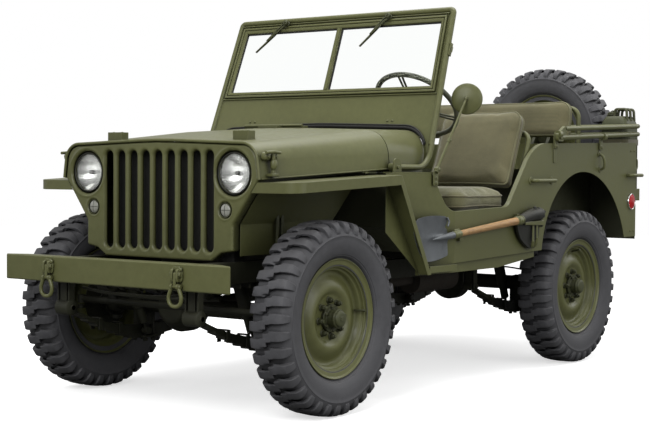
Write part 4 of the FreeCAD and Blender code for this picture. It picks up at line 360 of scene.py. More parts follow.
class Build:
    """Collects the faces of one piece; each part can have its own material."""

    def __init__(self):
        self.verts, self.faces, self.tones = [], [], []

    def add(self, verts, faces, matrix=None, tone=0):
        start = len(self.verts)
        for v in verts:
            v = Vector(v)
            self.verts.append(matrix @ v if matrix else v)
        for face in faces:
            self.faces.append([start + i for i in face])
            self.tones.append(tone)
        return self

    def lathe(self, profile, centre, axis="X", segs=48, tone=0, loop=False):
        """Turns (along, radius) points about the axis through the centre."""
        matrix = Matrix.Translation(Vector(centre)) @ turned(axis)
        turns = [2 * math.pi * k / segs for k in range(segs)]
        verts, faces, rings = [], [], []
        for along, radius in profile:
            if radius < 1e-6:
                rings.append([len(verts)])
                verts.append((0, 0, along))
                continue
            rings.append(list(range(len(verts), len(verts) + segs)))
            verts += [(radius * math.cos(t), radius * math.sin(t), along) for t in turns]
        pairs = list(zip(rings, rings[1:])) + ([(rings[-1], rings[0])] if loop else [])
        for a, b in pairs:
            for k in range(segs):
                j = (k + 1) % segs
                if len(a) == 1 and len(b) > 1:
                    faces.append((a[0], b[j], b[k]))
                elif len(b) == 1 and len(a) > 1:
                    faces.append((a[k], a[j], b[0]))
                elif len(a) > 1:
                    faces.append((a[k], a[j], b[j], b[k]))
        return self.add(verts, faces, matrix, tone)

    def tube(self, points, radius, segs=12, closed=False, tone=0, flat=1.0):
        """A bar along points; flat squeezes it across its second direction."""
        pts = [Vector(p) for p in points]
        n = len(pts)
        verts, side = [], None
        for i, p in enumerate(pts):
            ahead = pts[(i + 1) % n] if closed or i + 1 < n else p
            behind = pts[i - 1] if closed or i else p
            run = (ahead - behind).normalized()
            if side is None:
                side = run.orthogonal().normalized()
                if abs(run.z) < 0.9:
                    side = run.cross(Vector((0, 0, 1))).normalized()
            side = (side - run * side.dot(run)).normalized()
            other = run.cross(side)
            r = radius[i] if isinstance(radius, (list, tuple)) else radius
            for k in range(segs):
                turn = 2 * math.pi * k / segs
                verts.append(p + side * math.cos(turn) * r + other * math.sin(turn) * r * flat)
        faces = bands(segs, n, closed)
        if not closed:
            faces.append(tuple(range(segs)))
            faces.append(tuple((n - 1) * segs + k for k in range(segs)))
        return self.add(verts, faces, None, tone)

    def prism(self, outline, axis, low, high, bevel=0.0, tone=0):
        """An outline drawn across an axis and drawn out along it, with its edges broken by bevel."""
        outline = [Vector(p) for p in outline]
        area = sum(a.x * b.y - b.x * a.y for a, b in zip(outline, outline[1:] + outline[:1]))
        if area < 0:
            outline.reverse()
        n = len(outline)
        inner = []
        for i, p in enumerate(outline):
            u = (p - outline[i - 1]).normalized()
            w = (outline[(i + 1) % n] - p).normalized()
            normal = Vector((-u.y, u.x)) + Vector((-w.y, w.x))
            if normal.length > 1e-6:
                normal = normal.normalized() / max(0.5, math.cos(u.angle(w, 0) / 2))
            inner.append(p + normal * bevel)
        rings = [(outline, low), (outline, high)]
        if bevel:
            rings = [(inner, low), (outline, low + bevel), (outline, high - bevel), (inner, high)]
        place = {"X": lambda p, d: (d, p.x, p.y), "Y": lambda p, d: (p.x, d, p.y),
                 "Z": lambda p, d: (p.x, p.y, d)}
        verts = [place[axis](p, d) for ring, d in rings for p in ring]
        faces = [tuple(range(n)), tuple(len(verts) - n + k for k in range(n))] + bands(n, len(rings))
        return self.add(verts, faces, None, tone)

    def box(self, a, b, bevel):
        """A block between any two opposite corners."""
        (x0, x1), (y0, y1), (z0, z1) = (sorted(pair) for pair in zip(a, b))
        return self.prism(rect(x0, y0, x1, y1), "Z", z0, z1, bevel)

    def drum(self, at, axis, half, radius, segs=24, tone=0):
        """A plain round piece centred on a place."""
        return self.lathe([(-half, 0), (-half, radius), (half, radius), (half, 0)], at, axis, segs, tone)

    def bolt(self, at, axis, across=0.014, tall=0.007, tone=0, washer=True):
        """A hexagon head, measured across its flats, on a washer."""
        matrix = Matrix.Translation(Vector(at)) @ turned(axis)
        corner = across * 0.577
        turns = [math.radians(60 * k + 15) for k in range(6)]
        verts = [(corner * math.cos(t) * shrink, corner * math.sin(t) * shrink, h)
                 for shrink, h in ((1, 0), (1, tall * 0.8), (0.86, tall)) for t in turns]
        faces = bands(6, 3) + [tuple(range(6)), tuple(range(12, 18))]
        self.add(verts, faces, matrix, tone)
        if washer:
            self.lathe([(0, 0), (0, across * 0.72), (tall * 0.22, across * 0.68), (tall * 0.22, 0)], at, axis,
                       16, tone)
        return self

    def dome(self, at, axis, radius, tall=None, tone=0):
        """A round screw or rivet head."""
        tall = tall or radius * 0.55
        cap = [(tall * math.sin(t), radius * math.cos(t)) for t in (0.5, 0.95, 1.3)]
        return self.lathe([(0, 0), (0, radius)] + cap + [(tall, 0)], at, axis, 14, tone)

    def make(self, name, body, slot, *mats, angle=38, stands_for=(), matrix=None):
        """Turns the collected faces into a piece that rides on a body."""
        mesh = bpy.data.meshes.new(name)
        mesh.from_pydata([tuple(matrix @ v if matrix else v) for v in self.verts], [], self.faces)
        for mat in mats:
            mesh.materials.append(mat.mat)
        mesh.polygons.foreach_set("material_index", self.tones)
        bm = bmesh.new()
        bm.from_mesh(mesh)
        bmesh.ops.recalc_face_normals(bm, faces=bm.faces)
        bm.to_mesh(mesh)
        bm.free()
        mesh.polygons.foreach_set("use_smooth", [True] * len(mesh.polygons))
        mesh.set_sharp_from_angle(angle=math.radians(angle))
        piece = bpy.data.objects.new(name, mesh)
        SCENE.collection.objects.link(piece)
        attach(piece, body)
        if stands_for:
            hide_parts(*stands_for)
        return piece


# ---- Materials ----
OLIVE = surface("olive_drab", rgb(92, 94, 57), rough=(0.34, 0.48), bevel=0.003, wear=rgb(132, 132, 100),
                dust=0.2, dust_colour=rgb(148, 146, 122), soot_and_shade=0.75, gloss=0.4)
OLIVE_DARK = surface("olive_dark", rgb(68, 71, 43), rough=(0.42, 0.6), bevel=0.0025, wear=rgb(108, 107, 78),
                     dust=0.16, dust_colour=rgb(112, 110, 86), corner_shade=0.75, soot_and_shade=0.7, gloss=0.4)
UNDER = surface("underbody_paint", rgb(42, 43, 29), rough=(0.5, 0.7), bevel=0.002, wear=rgb(84, 82, 62),
                dust=0.14, mottle=0.2, dust_colour=rgb(88, 83, 64), corner_shade=0.8, soot_and_shade=0.75, gloss=0.35)
FLOOR_PAINT = surface("floor_paint", rgb(74, 76, 54), rough=(0.5, 0.75), bevel=0.002, wear=rgb(120, 116, 96),
                      dust=0.5, mottle=0.18, dust_colour=rgb(118, 112, 88), corner_shade=0.7, soot_and_shade=0.6)
IRON = surface("dark_iron", rgb(44, 45, 40), rough=(0.42, 0.62), metallic=0.35, bevel=0.0015,
               wear=rgb(110, 110, 104), dust=0.2, mottle=0.22)
CASTING = surface("rough_casting", rgb(60, 61, 48), rough=(0.55, 0.78), bevel=0.004, wear=rgb(92, 92, 78),
                  dust=0.3, grain=260, grain_depth=0.0009, mottle=0.2)
STEEL = surface("blade_steel", rgb(104, 108, 111), rough=(0.34, 0.55), metallic=0.55, bevel=0.001,
                wear=rgb(150, 152, 152), dust=0.12, mottle=0.24, grain=500)
CHROME = surface("bright_plating", rgb(214, 214, 212), rough=(0.1, 0.2), metallic=1.0, bevel=0.001, dust=0.05,
                 mottle=0.04, corner_shade=0.25)
MIRROR = surface("mirror_silver", rgb(228, 230, 230), rough=(0.03, 0.07), metallic=1.0, bevel=0.0005,
                 dust=0.04, mottle=0.02, corner_shade=0.0)
RUBBER = rubber("tyre_rubber", rgb(76, 76, 79))
SEAL = rubber("black_seal", rgb(34, 34, 33))
WOOD = wood("ash_handle")
GLASS = clear_glass("window_glass", (0.97, 0.985, 0.975, 1))
LAMP_GLASS = clear_glass("lamp_lens", (0.96, 0.97, 0.96, 1), ior=1.3, ribs=0.006)
DUCK = canvas("khaki_duck", rgb(94, 90, 62), rgb(112, 107, 76))
DUCK_LIGHT = canvas("worn_duck", rgb(96, 96, 64), rgb(124, 121, 88))
WEBBING = canvas("webbing", rgb(82, 80, 58), rgb(104, 99, 76), pitch=0.0035)
RED_LENS = surface("red_lens", rgb(176, 22, 26), rough=(0.12, 0.22), bevel=0.001, dust=0.1, mottle=0.12,
                   grain=300, grain_depth=0.0006)
# the wheels' olive paint, made a little lighter than OLIVE as a painted highlight on the rims, glossier, and
# with less darkening in the hollows
LIT_RIM_PAINT = surface("wheel_paint", rgb(98, 100, 59), rough=(0.3, 0.44), bevel=0.003, wear=rgb(140, 140, 104),
                    dust=0.12, dust_colour=rgb(140, 138, 108), corner_shade=0.6, soot_and_shade=0.25, gloss=0.5)
DIAL = surface("dial_face", rgb(30, 31, 30), rough=(0.25, 0.4), bevel=0.0008, dust=0.1, mottle=0.1, grain=300,
               grain_depth=0.0002)
GRIP = surface("moulded_grip", rgb(84, 86, 70), rough=(0.4, 0.6), bevel=0.001, wear=rgb(130, 130, 112),
               dust=0.12, mottle=0.2, grain=380, grain_depth=0.0004)
FROSTED = surface("frosted_lens", rgb(146, 147, 138), rough=(0.18, 0.34), bevel=0.0008, dust=0.1, mottle=0.1,
                  grain=240, grain_depth=0.0008, corner_shade=0.4)
CORE = surface("radiator_core", rgb(30, 30, 27), rough=(0.5, 0.7), metallic=0.3, bevel=0.0005, dust=0.2,
               grain=900, grain_depth=0.0008)
RUST = surface("exhaust_scale", rgb(46, 40, 33), rough=(0.7, 0.9), bevel=0.002, wear=rgb(120, 88, 62),
               dust=0.3, mottle=0.3, grain=320, grain_depth=0.0006)

# finishes of the CAD nodes that stay, by their slot or else by their own name
FINISH = {
    "olive_paint": OLIVE, "dark_paint": OLIVE_DARK, "cast_metal": CASTING, "tyre_rubber": RUBBER,
    "canvas": DUCK, "pane": GLASS, "lamp_metal": CHROME, "tool": WOOD,
}
SPECIAL = {
    "chassis_frame": UNDER, "floor_pan": FLOOR_PAINT, "wheel_boxes": FLOOR_PAINT, "leaf_springs": UNDER,
    "front_axle": UNDER, "rear_axle": UNDER, "propeller_shafts": UNDER, "gearbox": CASTING,
    "engine_block": CASTING, "exhaust": RUST, "radiator": CORE, "tie_rod": UNDER, "left_knuckle": UNDER,
    "right_knuckle": UNDER, "steering_wheel": IRON, "steering_column": OLIVE_DARK,
    "driver_levers": IRON, "tow_pintle": IRON, "tow_shackles": OLIVE_DARK, "instrument_panel": OLIVE,
    "spare_wheel_carrier": OLIVE_DARK, "axe": IRON,
}


def finish_nodes():
    """Gives every CAD node its finish."""
    for node in frame["record"]["subparts"]:
        thing = bpy.data.objects.get(node["node"])
        if thing:
            for place in thing.material_slots:
                place.material = SPECIAL.get(thing.name, FINISH[node["material_slot"]]).mat


# ---- Wheels and tyres ----
TYRE = [(0.054, 0.2045), (0.0555, 0.216), (0.056, 0.233), (0.059, 0.2385), (0.0655, 0.2415), (0.069, 0.244),
        (0.0705, 0.2475), (0.0735, 0.249), (0.079, 0.259), (0.084, 0.274), (0.0868, 0.29), (0.088, 0.306),
        (0.088, 0.318), (0.089, 0.32), (0.089, 0.3225), (0.0872, 0.324), (0.0845, 0.332), (0.08, 0.342),
        (0.074, 0.351), (0.066, 0.3565), (0.056, 0.359), (0.036, 0.3605), (0.015, 0.361)]
# rows over a lug from the middle of the tread: across, radius of the top, edges along the tread (mm)
LUG = ((-6, 380.0, -8, 24), (9, 380.0, -9, 24), (25, 379.6, -12, 22), (33, 379.2, -18.5, 18.5),
       (52, 378.0, -19, 18), (67, 375.4, -19, 17.5), (75, 371.0, -18.5, 17), (81.5, 363.0, -17.5, 16),
       (86.4, 352.0, -16, 14.5), (88.4, 341.0, -14.5, 13), (87.6, 333.0, -13, 11.5))
LUG_DEPTHS = (20, 20, 20, 20, 20, 20, 19, 17, 14, 11, 8)
LUGS_PER_SIDE = 36
WHEEL_FRONT = [(0.061, 0.2338), (0.0632, 0.233), (0.064, 0.231), (0.0625, 0.2285), (0.0585, 0.2262),
               (0.057, 0.2225), (0.0566, 0.212), (0.0555, 0.2085), (0.047, 0.2068), (0.0455, 0.205),
               (0.045, 0.2), (0.044, 0.198), (0.033, 0.1962), (0.0315, 0.1945), (0.0308, 0.1895),
               (0.0295, 0.1875), (0.016, 0.185), (0.0105, 0.18), (0.009, 0.173), (0.01, 0.1665),
               (0.014, 0.159), (0.0205, 0.149), (0.0268, 0.139), (0.0315, 0.129), (0.0335, 0.12),
               (0.033, 0.112), (0.0295, 0.104), (0.024, 0.097), (0.0205, 0.0915), (0.0195, 0.086),
               (0.0195, 0.03)]
WHEEL_BACK = [(0.0145, 0.03), (0.0145, 0.086), (0.0158, 0.0925), (0.0195, 0.0985), (0.025, 0.1055),
              (0.0282, 0.1125), (0.0287, 0.1195), (0.0268, 0.1275), (0.0222, 0.137), (0.016, 0.147),
              (0.0095, 0.157), (0.0055, 0.165), (0.0043, 0.173), (0.003, 0.177), (-0.02, 0.178),
              (-0.029, 0.183), (-0.033, 0.193), (-0.038, 0.2), (-0.048, 0.202), (-0.052, 0.205),
              (-0.0535, 0.212), (-0.0545, 0.223), (-0.058, 0.2265), (-0.062, 0.2285), (-0.064, 0.231),
              (-0.0632, 0.233), (-0.061, 0.2338), (-0.054, 0.225), (-0.052, 0.21), (0.052, 0.21),
              (0.054, 0.225)]


def tyre_mesh(wear_seed):
    """Carcass with ring lines on its walls and staggered lugs that wrap over the shoulders."""
    b = Build()
    back = [(-a, r) for a, r in reversed(TYRE)]
    b.lathe(TYRE + back, (0, 0, 0), "X", 144)
    chance = random.Random(wear_seed)
    for side in (1, -1):
        for number in range(LUGS_PER_SIDE):
            centre = 2 * math.pi * (number + (0.5 if side < 0 else 0.0)) / LUGS_PER_SIDE
            verts = []
            worn = chance.uniform(0.0, 0.0007)
            for (across, top, low, high), depth in zip(LUG, LUG_DEPTHS):
                if side < 0:
                    low, high = -high, -low
                on_shoulder = depth < 20
                inward = (-across * 0.55, 302 - top) if on_shoulder else (-across * 0.05, -1)
                inward = Vector(inward).normalized()
                for u, down in ((low - 2.2, depth), (low, 2.0), (low + 1.6, 0), (low * 0.35 + high * 0.65, 0),
                                (high - 1.6, 0), (high, 2.0), (high + 2.2, depth)):
                    v = (across + inward.x * down) / 1000
                    r = (top + inward.y * down) / 1000 - (worn if down == 0 else 0)
                    turn = centre + u / 380
                    verts.append((side * v, r * math.cos(turn), r * math.sin(turn)))
            caps = [tuple(range(7)), tuple(range(len(verts) - 7, len(verts)))]
            b.add(verts, bands(7, len(LUG)) + caps)
    return b


def hub_mesh(front):
    """Wheel nuts, hub flange with its cap screws, hub barrel and end cap, outwards along +X."""
    b = Build()
    for k in range(8):
        turn = math.radians(45 * k + 90)
        at = (0.0195, 0.071 * math.cos(turn), 0.071 * math.sin(turn))
        b.lathe([(0, 0), (0, 0.015), (0.004, 0.0125), (0.004, 0)], at, "X", 20)
        b.bolt((0.0225, at[1], at[2]), "X", 0.0185, 0.017, washer=False)
        b.lathe([(0.018, 0.0065), (0.0255, 0.0062), (0.027, 0.0045), (0.027, 0)], at, "X", 14)
    b.lathe([(0.015, 0.0), (0.015, 0.0545), (0.03, 0.0545), (0.0325, 0.0525), (0.0325, 0.0395),
             (0.035, 0.037), (0.056, 0.035), (0.058, 0.037), (0.061, 0.0378), (0.0665, 0.0378),
             (0.069, 0.036), (0.069, 0.0325), (0.0745, 0.0322), (0.0775, 0.03), (0.08, 0.0262),
             (0.0812, 0.02), (0.0812, 0.0)], (0, 0, 0), "X", 56)
    for k in range(6):
        turn = math.radians(60 * k + 30)
        b.bolt((0.0325, 0.0468 * math.cos(turn), 0.0468 * math.sin(turn)), "X", 0.0118, 0.0075)
    if front:
        b.prism(rect(-0.0085, -0.0085, 0.0085, 0.0085), "X", 0.0812, 0.0835, 0.0008)
    # valve stem through the disc near the rim
    b.tube([(0.016, 0.172, 0.0), (0.04, 0.176, 0.0), (0.056, 0.182, 0.0)], 0.0042, 10)
    b.lathe([(0, 0), (0, 0.0058), (0.012, 0.0052), (0.012, 0)], (0.05, 0.1795, 0),
            Vector((1, 0.3, 0)).normalized(), 12)
    return b


def placed(build, matrix):
    """A copy of a build moved by a matrix."""
    out = Build()
    out.verts = [matrix @ v for v in build.verts]
    out.faces, out.tones = build.faces, build.tones
    return out


def wheel(name, body, seed, matrix):
    """A tyre on its rim, standing in for the body's CAD tyre and wheel."""
    placed(tyre_mesh(seed), matrix).make(f"{name}_tyre_tread", body, "tyre_rubber", RUBBER, angle=30,
                                         stands_for=(f"{name}_tyre",))
    rim = Build().lathe(WHEEL_FRONT + WHEEL_BACK, (0, 0, 0), "X", 112, loop=True)
    placed(rim, matrix).make(f"{name}_rim", body, "olive_paint", LIT_RIM_PAINT, angle=50,
                             stands_for=(f"{name}_wheel",))


def wheels():
    """Four wheels at the axles' ends, each turned by its own angle, and the spare behind."""
    for number, name in enumerate(("front_left", "front_right", "rear_left", "rear_right")):
        side = 1 if "left" in name else -1
        spot = (HALF_TRACK * side, aft(0 if "front" in name else WHEELBASE), TYRE_RADIUS)
        matrix = Matrix.Translation(spot) @ Matrix.Rotation(0 if side > 0 else math.pi, 4, "Z") \
            @ Matrix.Rotation(0.7 * number + 0.1, 4, "X")
        wheel(name, f"{name}_wheel", number, matrix)
        hub = placed(hub_mesh("front" in name), matrix)
        hub.make(f"{name}_hub", f"{name}_wheel", "olive_paint", OLIVE_DARK)
    spare = Matrix.Translation((0.095, aft(2800), 1.146)) @ Matrix.Rotation(math.pi / 2, 4, "Z") \
        @ Matrix.Rotation(0.35, 4, "X")
    wheel("spare", "chassis", 7, spare)


# ---- Grille, lamps and hood details ----
GRILLE_FACE = aft(-288)
SLOTS = [67.7 * (k - 4) for k in range(9)]
SLOT_HALF, SLOT_LOW, SLOT_HIGH = 21.5, 633.0, 1026.0
LAMPS = ((394.0, 938.0, 88.0), (-394.0, 938.0, 88.0))
MARKERS = ((356.0, 797.0, 31.0), (-356.0, 797.0, 31.0))
GRILLE_SIDE = ((286, 598), (335, 630, 14), (392, 640, 8), (392, 742, 30), (519, 915), (501, 1045, 67),
               (0, 1063, 2600))


def grille_loop():
    """The plate's outline: its left side, then the same mirrored."""
    mirrored = [(-x, z, *bend) for x, z, *bend in reversed(GRILLE_SIDE[:-1])]
    return rounded([*GRILLE_SIDE, *mirrored], 8)


def slot_distance(x, z):
    middle = np.clip(z, SLOT_LOW + SLOT_HALF, SLOT_HIGH - SLOT_HALF)
    return np.min([np.hypot(x - c, z - middle) for c in SLOTS], axis=0) - SLOT_HALF


def hole_distance(x, z, holes):
    return np.min([np.hypot(x - a, z - b) - r for a, b, r in holes], axis=0)


def grille_form(x, z, loop):
    """Distance into the sheet from its nearest edge, and how far back the pressing lies there (mm)."""
    slot, lamp, marker = slot_distance(x, z), hole_distance(x, z, LAMPS), hole_distance(x, z, MARKERS)
    edge, inside = np.full(x.shape, 1e9), np.zeros(x.shape, bool)
    for a, b in zip(loop, loop[1:] + loop[:1]):
        run = b - a
        t = np.clip(((x - a.x) * run.x + (z - a.y) * run.y) / max(run.length_squared, 1e-9), 0, 1)
        edge = np.minimum(edge, np.hypot(x - a.x - run.x * t, z - a.y - run.y * t))
        if abs(run.y) > 1e-9:
            inside ^= ((a.y > z) != (b.y > z)) & (x < run.x * (z - a.y) / run.y + a.x)
    outer = np.where(inside, edge, -edge)
    back = np.zeros(x.shape)
    for distance, radius, deep in ((slot, 13.5, 14.0), (lamp, 9.0, 8.0), (marker, 6.0, 5.0),
                                   (outer, 8.0, 8.0)):
        short = 1 - np.clip(distance, 0, radius) / radius
        back = np.maximum(back, deep * (1 - np.sqrt(np.maximum(0, 1 - short * short))))
    ring = 2.4 * np.exp(-((lamp - 12) / 4.5) ** 2) + 1.6 * np.exp(-((marker - 8) / 3.2) ** 2)
    return np.min([slot, lamp, marker, outer], axis=0), back - ring


def grille_plate():
    """The pressed plate: a fine grid cut and pulled to the openings' edges, with collars behind."""
    loop = grille_loop()
    step, nudge = 3.2, 0.3
    x, z = np.meshgrid(np.arange(-524, 525, step), np.arange(592, 1069, step), indexing="ij")
    for _ in range(3):
        d = grille_form(x, z, loop)[0]
        near = (d < step * 0.5) & (d > -step * 0.8)
        gx = (grille_form(x + nudge, z, loop)[0] - grille_form(x - nudge, z, loop)[0]) / (2 * nudge)
        gz = (grille_form(x, z + nudge, loop)[0] - grille_form(x, z - nudge, loop)[0]) / (2 * nudge)
        size = np.maximum(0.4, np.hypot(gx, gz))
        x = np.where(near, x - gx / size * (d - 0.02), x)
        z = np.where(near, z - gz / size * (d - 0.02), z)
    d, back = grille_form(x, z, loop)
    nx, nz = x.shape
    verts, index, faces = [], {}, []
    good = d > -0.6
    for i in range(nx - 1):
        for k in range(nz - 1):
            quad = ((i, k), (i + 1, k), (i + 1, k + 1), (i, k + 1))
            if not all(good[q] for q in quad):
                continue
            for q in quad:
                if q not in index:
                    index[q] = len(verts)
                    verts.append((float(x[q]) / 1000, GRILLE_FACE + float(back[q]) / 1000,
                                  float(z[q]) / 1000))
            faces.append([index[q] for q in quad])
    edges = {(a, b) for face in faces for a, b in zip(face, face[1:] + face[:1])}
    behind = {}
    for a, b in [edge for edge in edges if edge[::-1] not in edges]:
        for v in (a, b):
            if v not in behind:
                px, pz = verts[v][0] * 1000, verts[v][2] * 1000
                at_slot = abs(slot_distance(px, pz)) < 2
                at_lamp = abs(hole_distance(px, pz, LAMPS + MARKERS)) < 2
                deep = 0.02 if at_slot else 0.014 if at_lamp else 0.04
                behind[v] = len(verts)
                verts.append((verts[v][0], GRILLE_FACE + deep, verts[v][2]))
        faces.append([b, a, behind[a], behind[b]])
    piece = Build().add(verts, faces).make("grille_pressing", "chassis", "olive_paint", OLIVE, angle=60,
                                           stands_for=("grille",))
    thick = piece.modifiers.new("sheet", "SOLIDIFY")
    thick.thickness, thick.offset = 0.0018, -1


def lamps():
    """Headlamp bowls with reflectors, bulbs and fluted lenses, and the small marker lamps."""
    shells, mirrors, lenses, frosted = Build(), Build(), Build(), Build()
    y = aft(-276)
    for side in (1, -1):
        at = (0.394 * side, y, 0.938)
        shells.lathe([(0.0035, 0.0745), (-0.0025, 0.075), (-0.0042, 0.0775), (-0.0035, 0.0805), (0.0, 0.082),
                      (0.01, 0.084), (0.011, 0.0925), (0.015, 0.094), (0.018, 0.09), (0.03, 0.083),
                      (0.065, 0.06), (0.086, 0.03), (0.09, 0.0)], at, "Y", 72)
        shells.lathe([(0.0125, 0.0), (0.0125, 0.008), (0.014, 0.0098), (0.03, 0.0098), (0.031, 0.0)], at, "Y",
                     24, 1)
        spread = (0.0, 0.012, 0.024, 0.036, 0.048, 0.058, 0.066, 0.0725, 0.0745)
        mirrors.lathe([(0.06 - 0.052 * (r / 0.074) ** 2, r) for r in spread], at, "Y", 72)
        # the lens's retaining ring, in dark iron so that it also stands in for the painted shade of the gap
        # round the lens
        shells.lathe([(0.003, 0.0755), (-0.004, 0.0757), (-0.0052, 0.0775), (-0.0046, 0.0805),
                      (0.003, 0.0815)], at, "Y", 72, 1)
        spread = (0.0, 0.015, 0.03, 0.045, 0.06, 0.07, 0.0745)
        front = [(0.0015 - 0.0085 * (1 - (r / 0.0745) ** 2), r) for r in spread]
        lenses.lathe(front + [(0.0045, 0.0745)] + [(a + 0.003, r) for a, r in reversed(front[:-1])], at, "Y",
                     72)
        small = (0.356 * side, aft(-285), 0.797)
        shells.lathe([(0.0, 0.0262), (-0.0035, 0.0268), (-0.004, 0.029), (-0.001, 0.0302), (0.015, 0.0302),
                      (0.04, 0.026), (0.04, 0.0)], small, "Y", 40)
        frosted.lathe([(-0.0058, 0.0), (-0.005, 0.011), (-0.003, 0.019), (-0.0005, 0.024), (0.003, 0.0262),
                       (0.008, 0.0262), (0.008, 0.0)], small, "Y", 40)
        for turn in (0.0, 0.5):
            arm = Vector((math.cos(turn * math.pi), 0, math.sin(turn * math.pi)))
            guard = ((-0.023, -0.0005), (-0.014, -0.0045), (0.0, -0.0058), (0.014, -0.0045), (0.023, -0.0005))
            frosted.tube([Vector(small) + arm * r + Vector((0, ahead, 0)) for r, ahead in guard], 0.0011, 6,
                         tone=1)
    shells.make("lamp_shells", "chassis", "dark_paint", OLIVE_DARK, IRON, stands_for=("front_lamps",))
    mirrors.make("lamp_reflectors", "chassis", "lamp_metal", CHROME)
    lenses.make("lamp_lenses", "chassis", "pane", LAMP_GLASS)
    frosted.make("marker_lenses", "chassis", "lamp_metal", FROSTED, IRON)


def bonnet_outline(half, low, top, shoulder, grow=0.0):
    """The hood's cross-section as a smooth line from one lower edge over the top to the other."""
    half, top = half + grow, top + grow
    pts = [(-half, low), (18 - half, top - 18, shoulder + grow), (0, top, 2600),
           (half - 18, top - 18, shoulder + grow), (half, low)]
    line = rounded([(-half, low - 400)] + pts + [(half, low - 400)], 6)
    return [p for p in line if p.y >= low - 0.5]


def hood_width(share):
    """Half width, lower edge, top and shoulder radius at a share of the way from nose to seam."""
    return (527 + 89 * share, 915 + 43 * share, 1071 + 66 * share, 75 + 38 * share)


def hood_details():
    """Rolled front edge, side beads, screws of the wooden blocks and hold-down catches."""
    b = Build()
    nose = [(p.x / 1000, aft(-289.5), p.y / 1000) for p in bonnet_outline(*hood_width(0.0), grow=-1.0)]
    b.tube(nose, 0.0062, 12)
    for side in (1, -1):
        edge = []
        for k in range(12):
            share = 0.012 + 0.976 * k / 11
            half, low, *_ = hood_width(share)
            edge.append(((half - 0.8) * side / 1000, aft(-288 + 732 * share), (low + 1.0) / 1000))
        b.tube(edge, 0.0032, 8)
        for x in (0.318, 0.366) if side > 0 else (-0.366, -0.318):    # screws of the wooden blocks
            b.dome((x, aft(-160), 1.1035), "Z", 0.0055)
    b.make("hood_edges", "hood", "olive_paint", OLIVE)
    # hold-down catches on the hood's sides: a two-lobed bracket, a T-handle and its draw rod
    c = Build()
    for side in (1, -1):
        half = hood_width(0.06)[0] / 1000
        x, out = (half - 0.006) * side, OUT[side]
        for y in (aft(-262), aft(-218)):
            c.lathe([(0, 0), (0, 0.017), (0.012, 0.016), (0.02, 0.012), (0.022, 0)], (x, y, 1.003), out, 24)
            c.bolt((x + 0.021 * side, y, 1.003), out, 0.012, 0.006)
        c.box((x, aft(-276), 0.99), (x + 0.016 * side, aft(-204), 1.012), 0.003)
        c.tube([(x + 0.026 * side, aft(-282), 1.017), (x + 0.03 * side, aft(-240), 1.02),
                (x + 0.026 * side, aft(-198), 1.017)], 0.0062, 12)
        c.tube([(x + 0.022 * side, aft(-236), 1.016), (x + 0.024 * side, aft(-234), 0.975),
                (x + 0.02 * side, aft(-232), 0.942)], 0.0085, 14)
        c.lathe([(-0.016, 0), (-0.016, 0.011), (-0.01, 0.0135), (0.01, 0.0135), (0.016, 0.011), (0.016, 0)],
                (x + 0.024 * side, aft(-234), 0.972), "Z", 20)
        c.box((x + 0.004 * side, aft(-254), 0.926), (x + 0.034 * side, aft(-214), 0.938), 0.002)
        c.bolt((x + 0.02 * side, aft(-232), 0.938), "Z", 0.017, 0.01)
    c.make("hood_catches", "hood", "cast_metal", OLIVE)


# ---- Windscreen, in millimetres in the screen's own frame: across, behind and up the screen ----
MM = Matrix.Diagonal((0.001, 0.001, 0.001, 1))
CAR = Matrix.Translation((0, FRONT, 0)) @ MM    # millimetres from the front axle: across, aft and up
RAKE = math.radians(20.4)
SCREEN = Matrix.Translation((0, aft(716), 1.0)) @ Matrix.Rotation(-RAKE, 4, "X") @ MM


def inset(outline, by):
    """The closed outline moved inwards by a distance."""
    pts = [Vector(p) for p in outline]
    n = len(pts)
    out = []
    for i, p in enumerate(pts):
        u, w = (p - pts[i - 1]).normalized(), (pts[(i + 1) % n] - p).normalized()
        normal = Vector((-u.y - w.y, u.x + w.x))
        out.append(p + normal.normalized() * by / max(0.35, math.cos(u.angle(w, 0) / 2)))
    return out


def ring_frame(build, outline, profile):
    """A mitred frame: copies of an anticlockwise outline moved in by inset at each depth, joined in turn."""
    verts = [(p.x, depth, p.y) for step, depth in profile for p in inset(outline, step)]
    return build.add(verts, bands(len(outline), len(profile), True))


def screen_side(height):
    """Half the screen's width over its side tubes, which lean in towards the top."""
    return 634 - 31 * height / 705


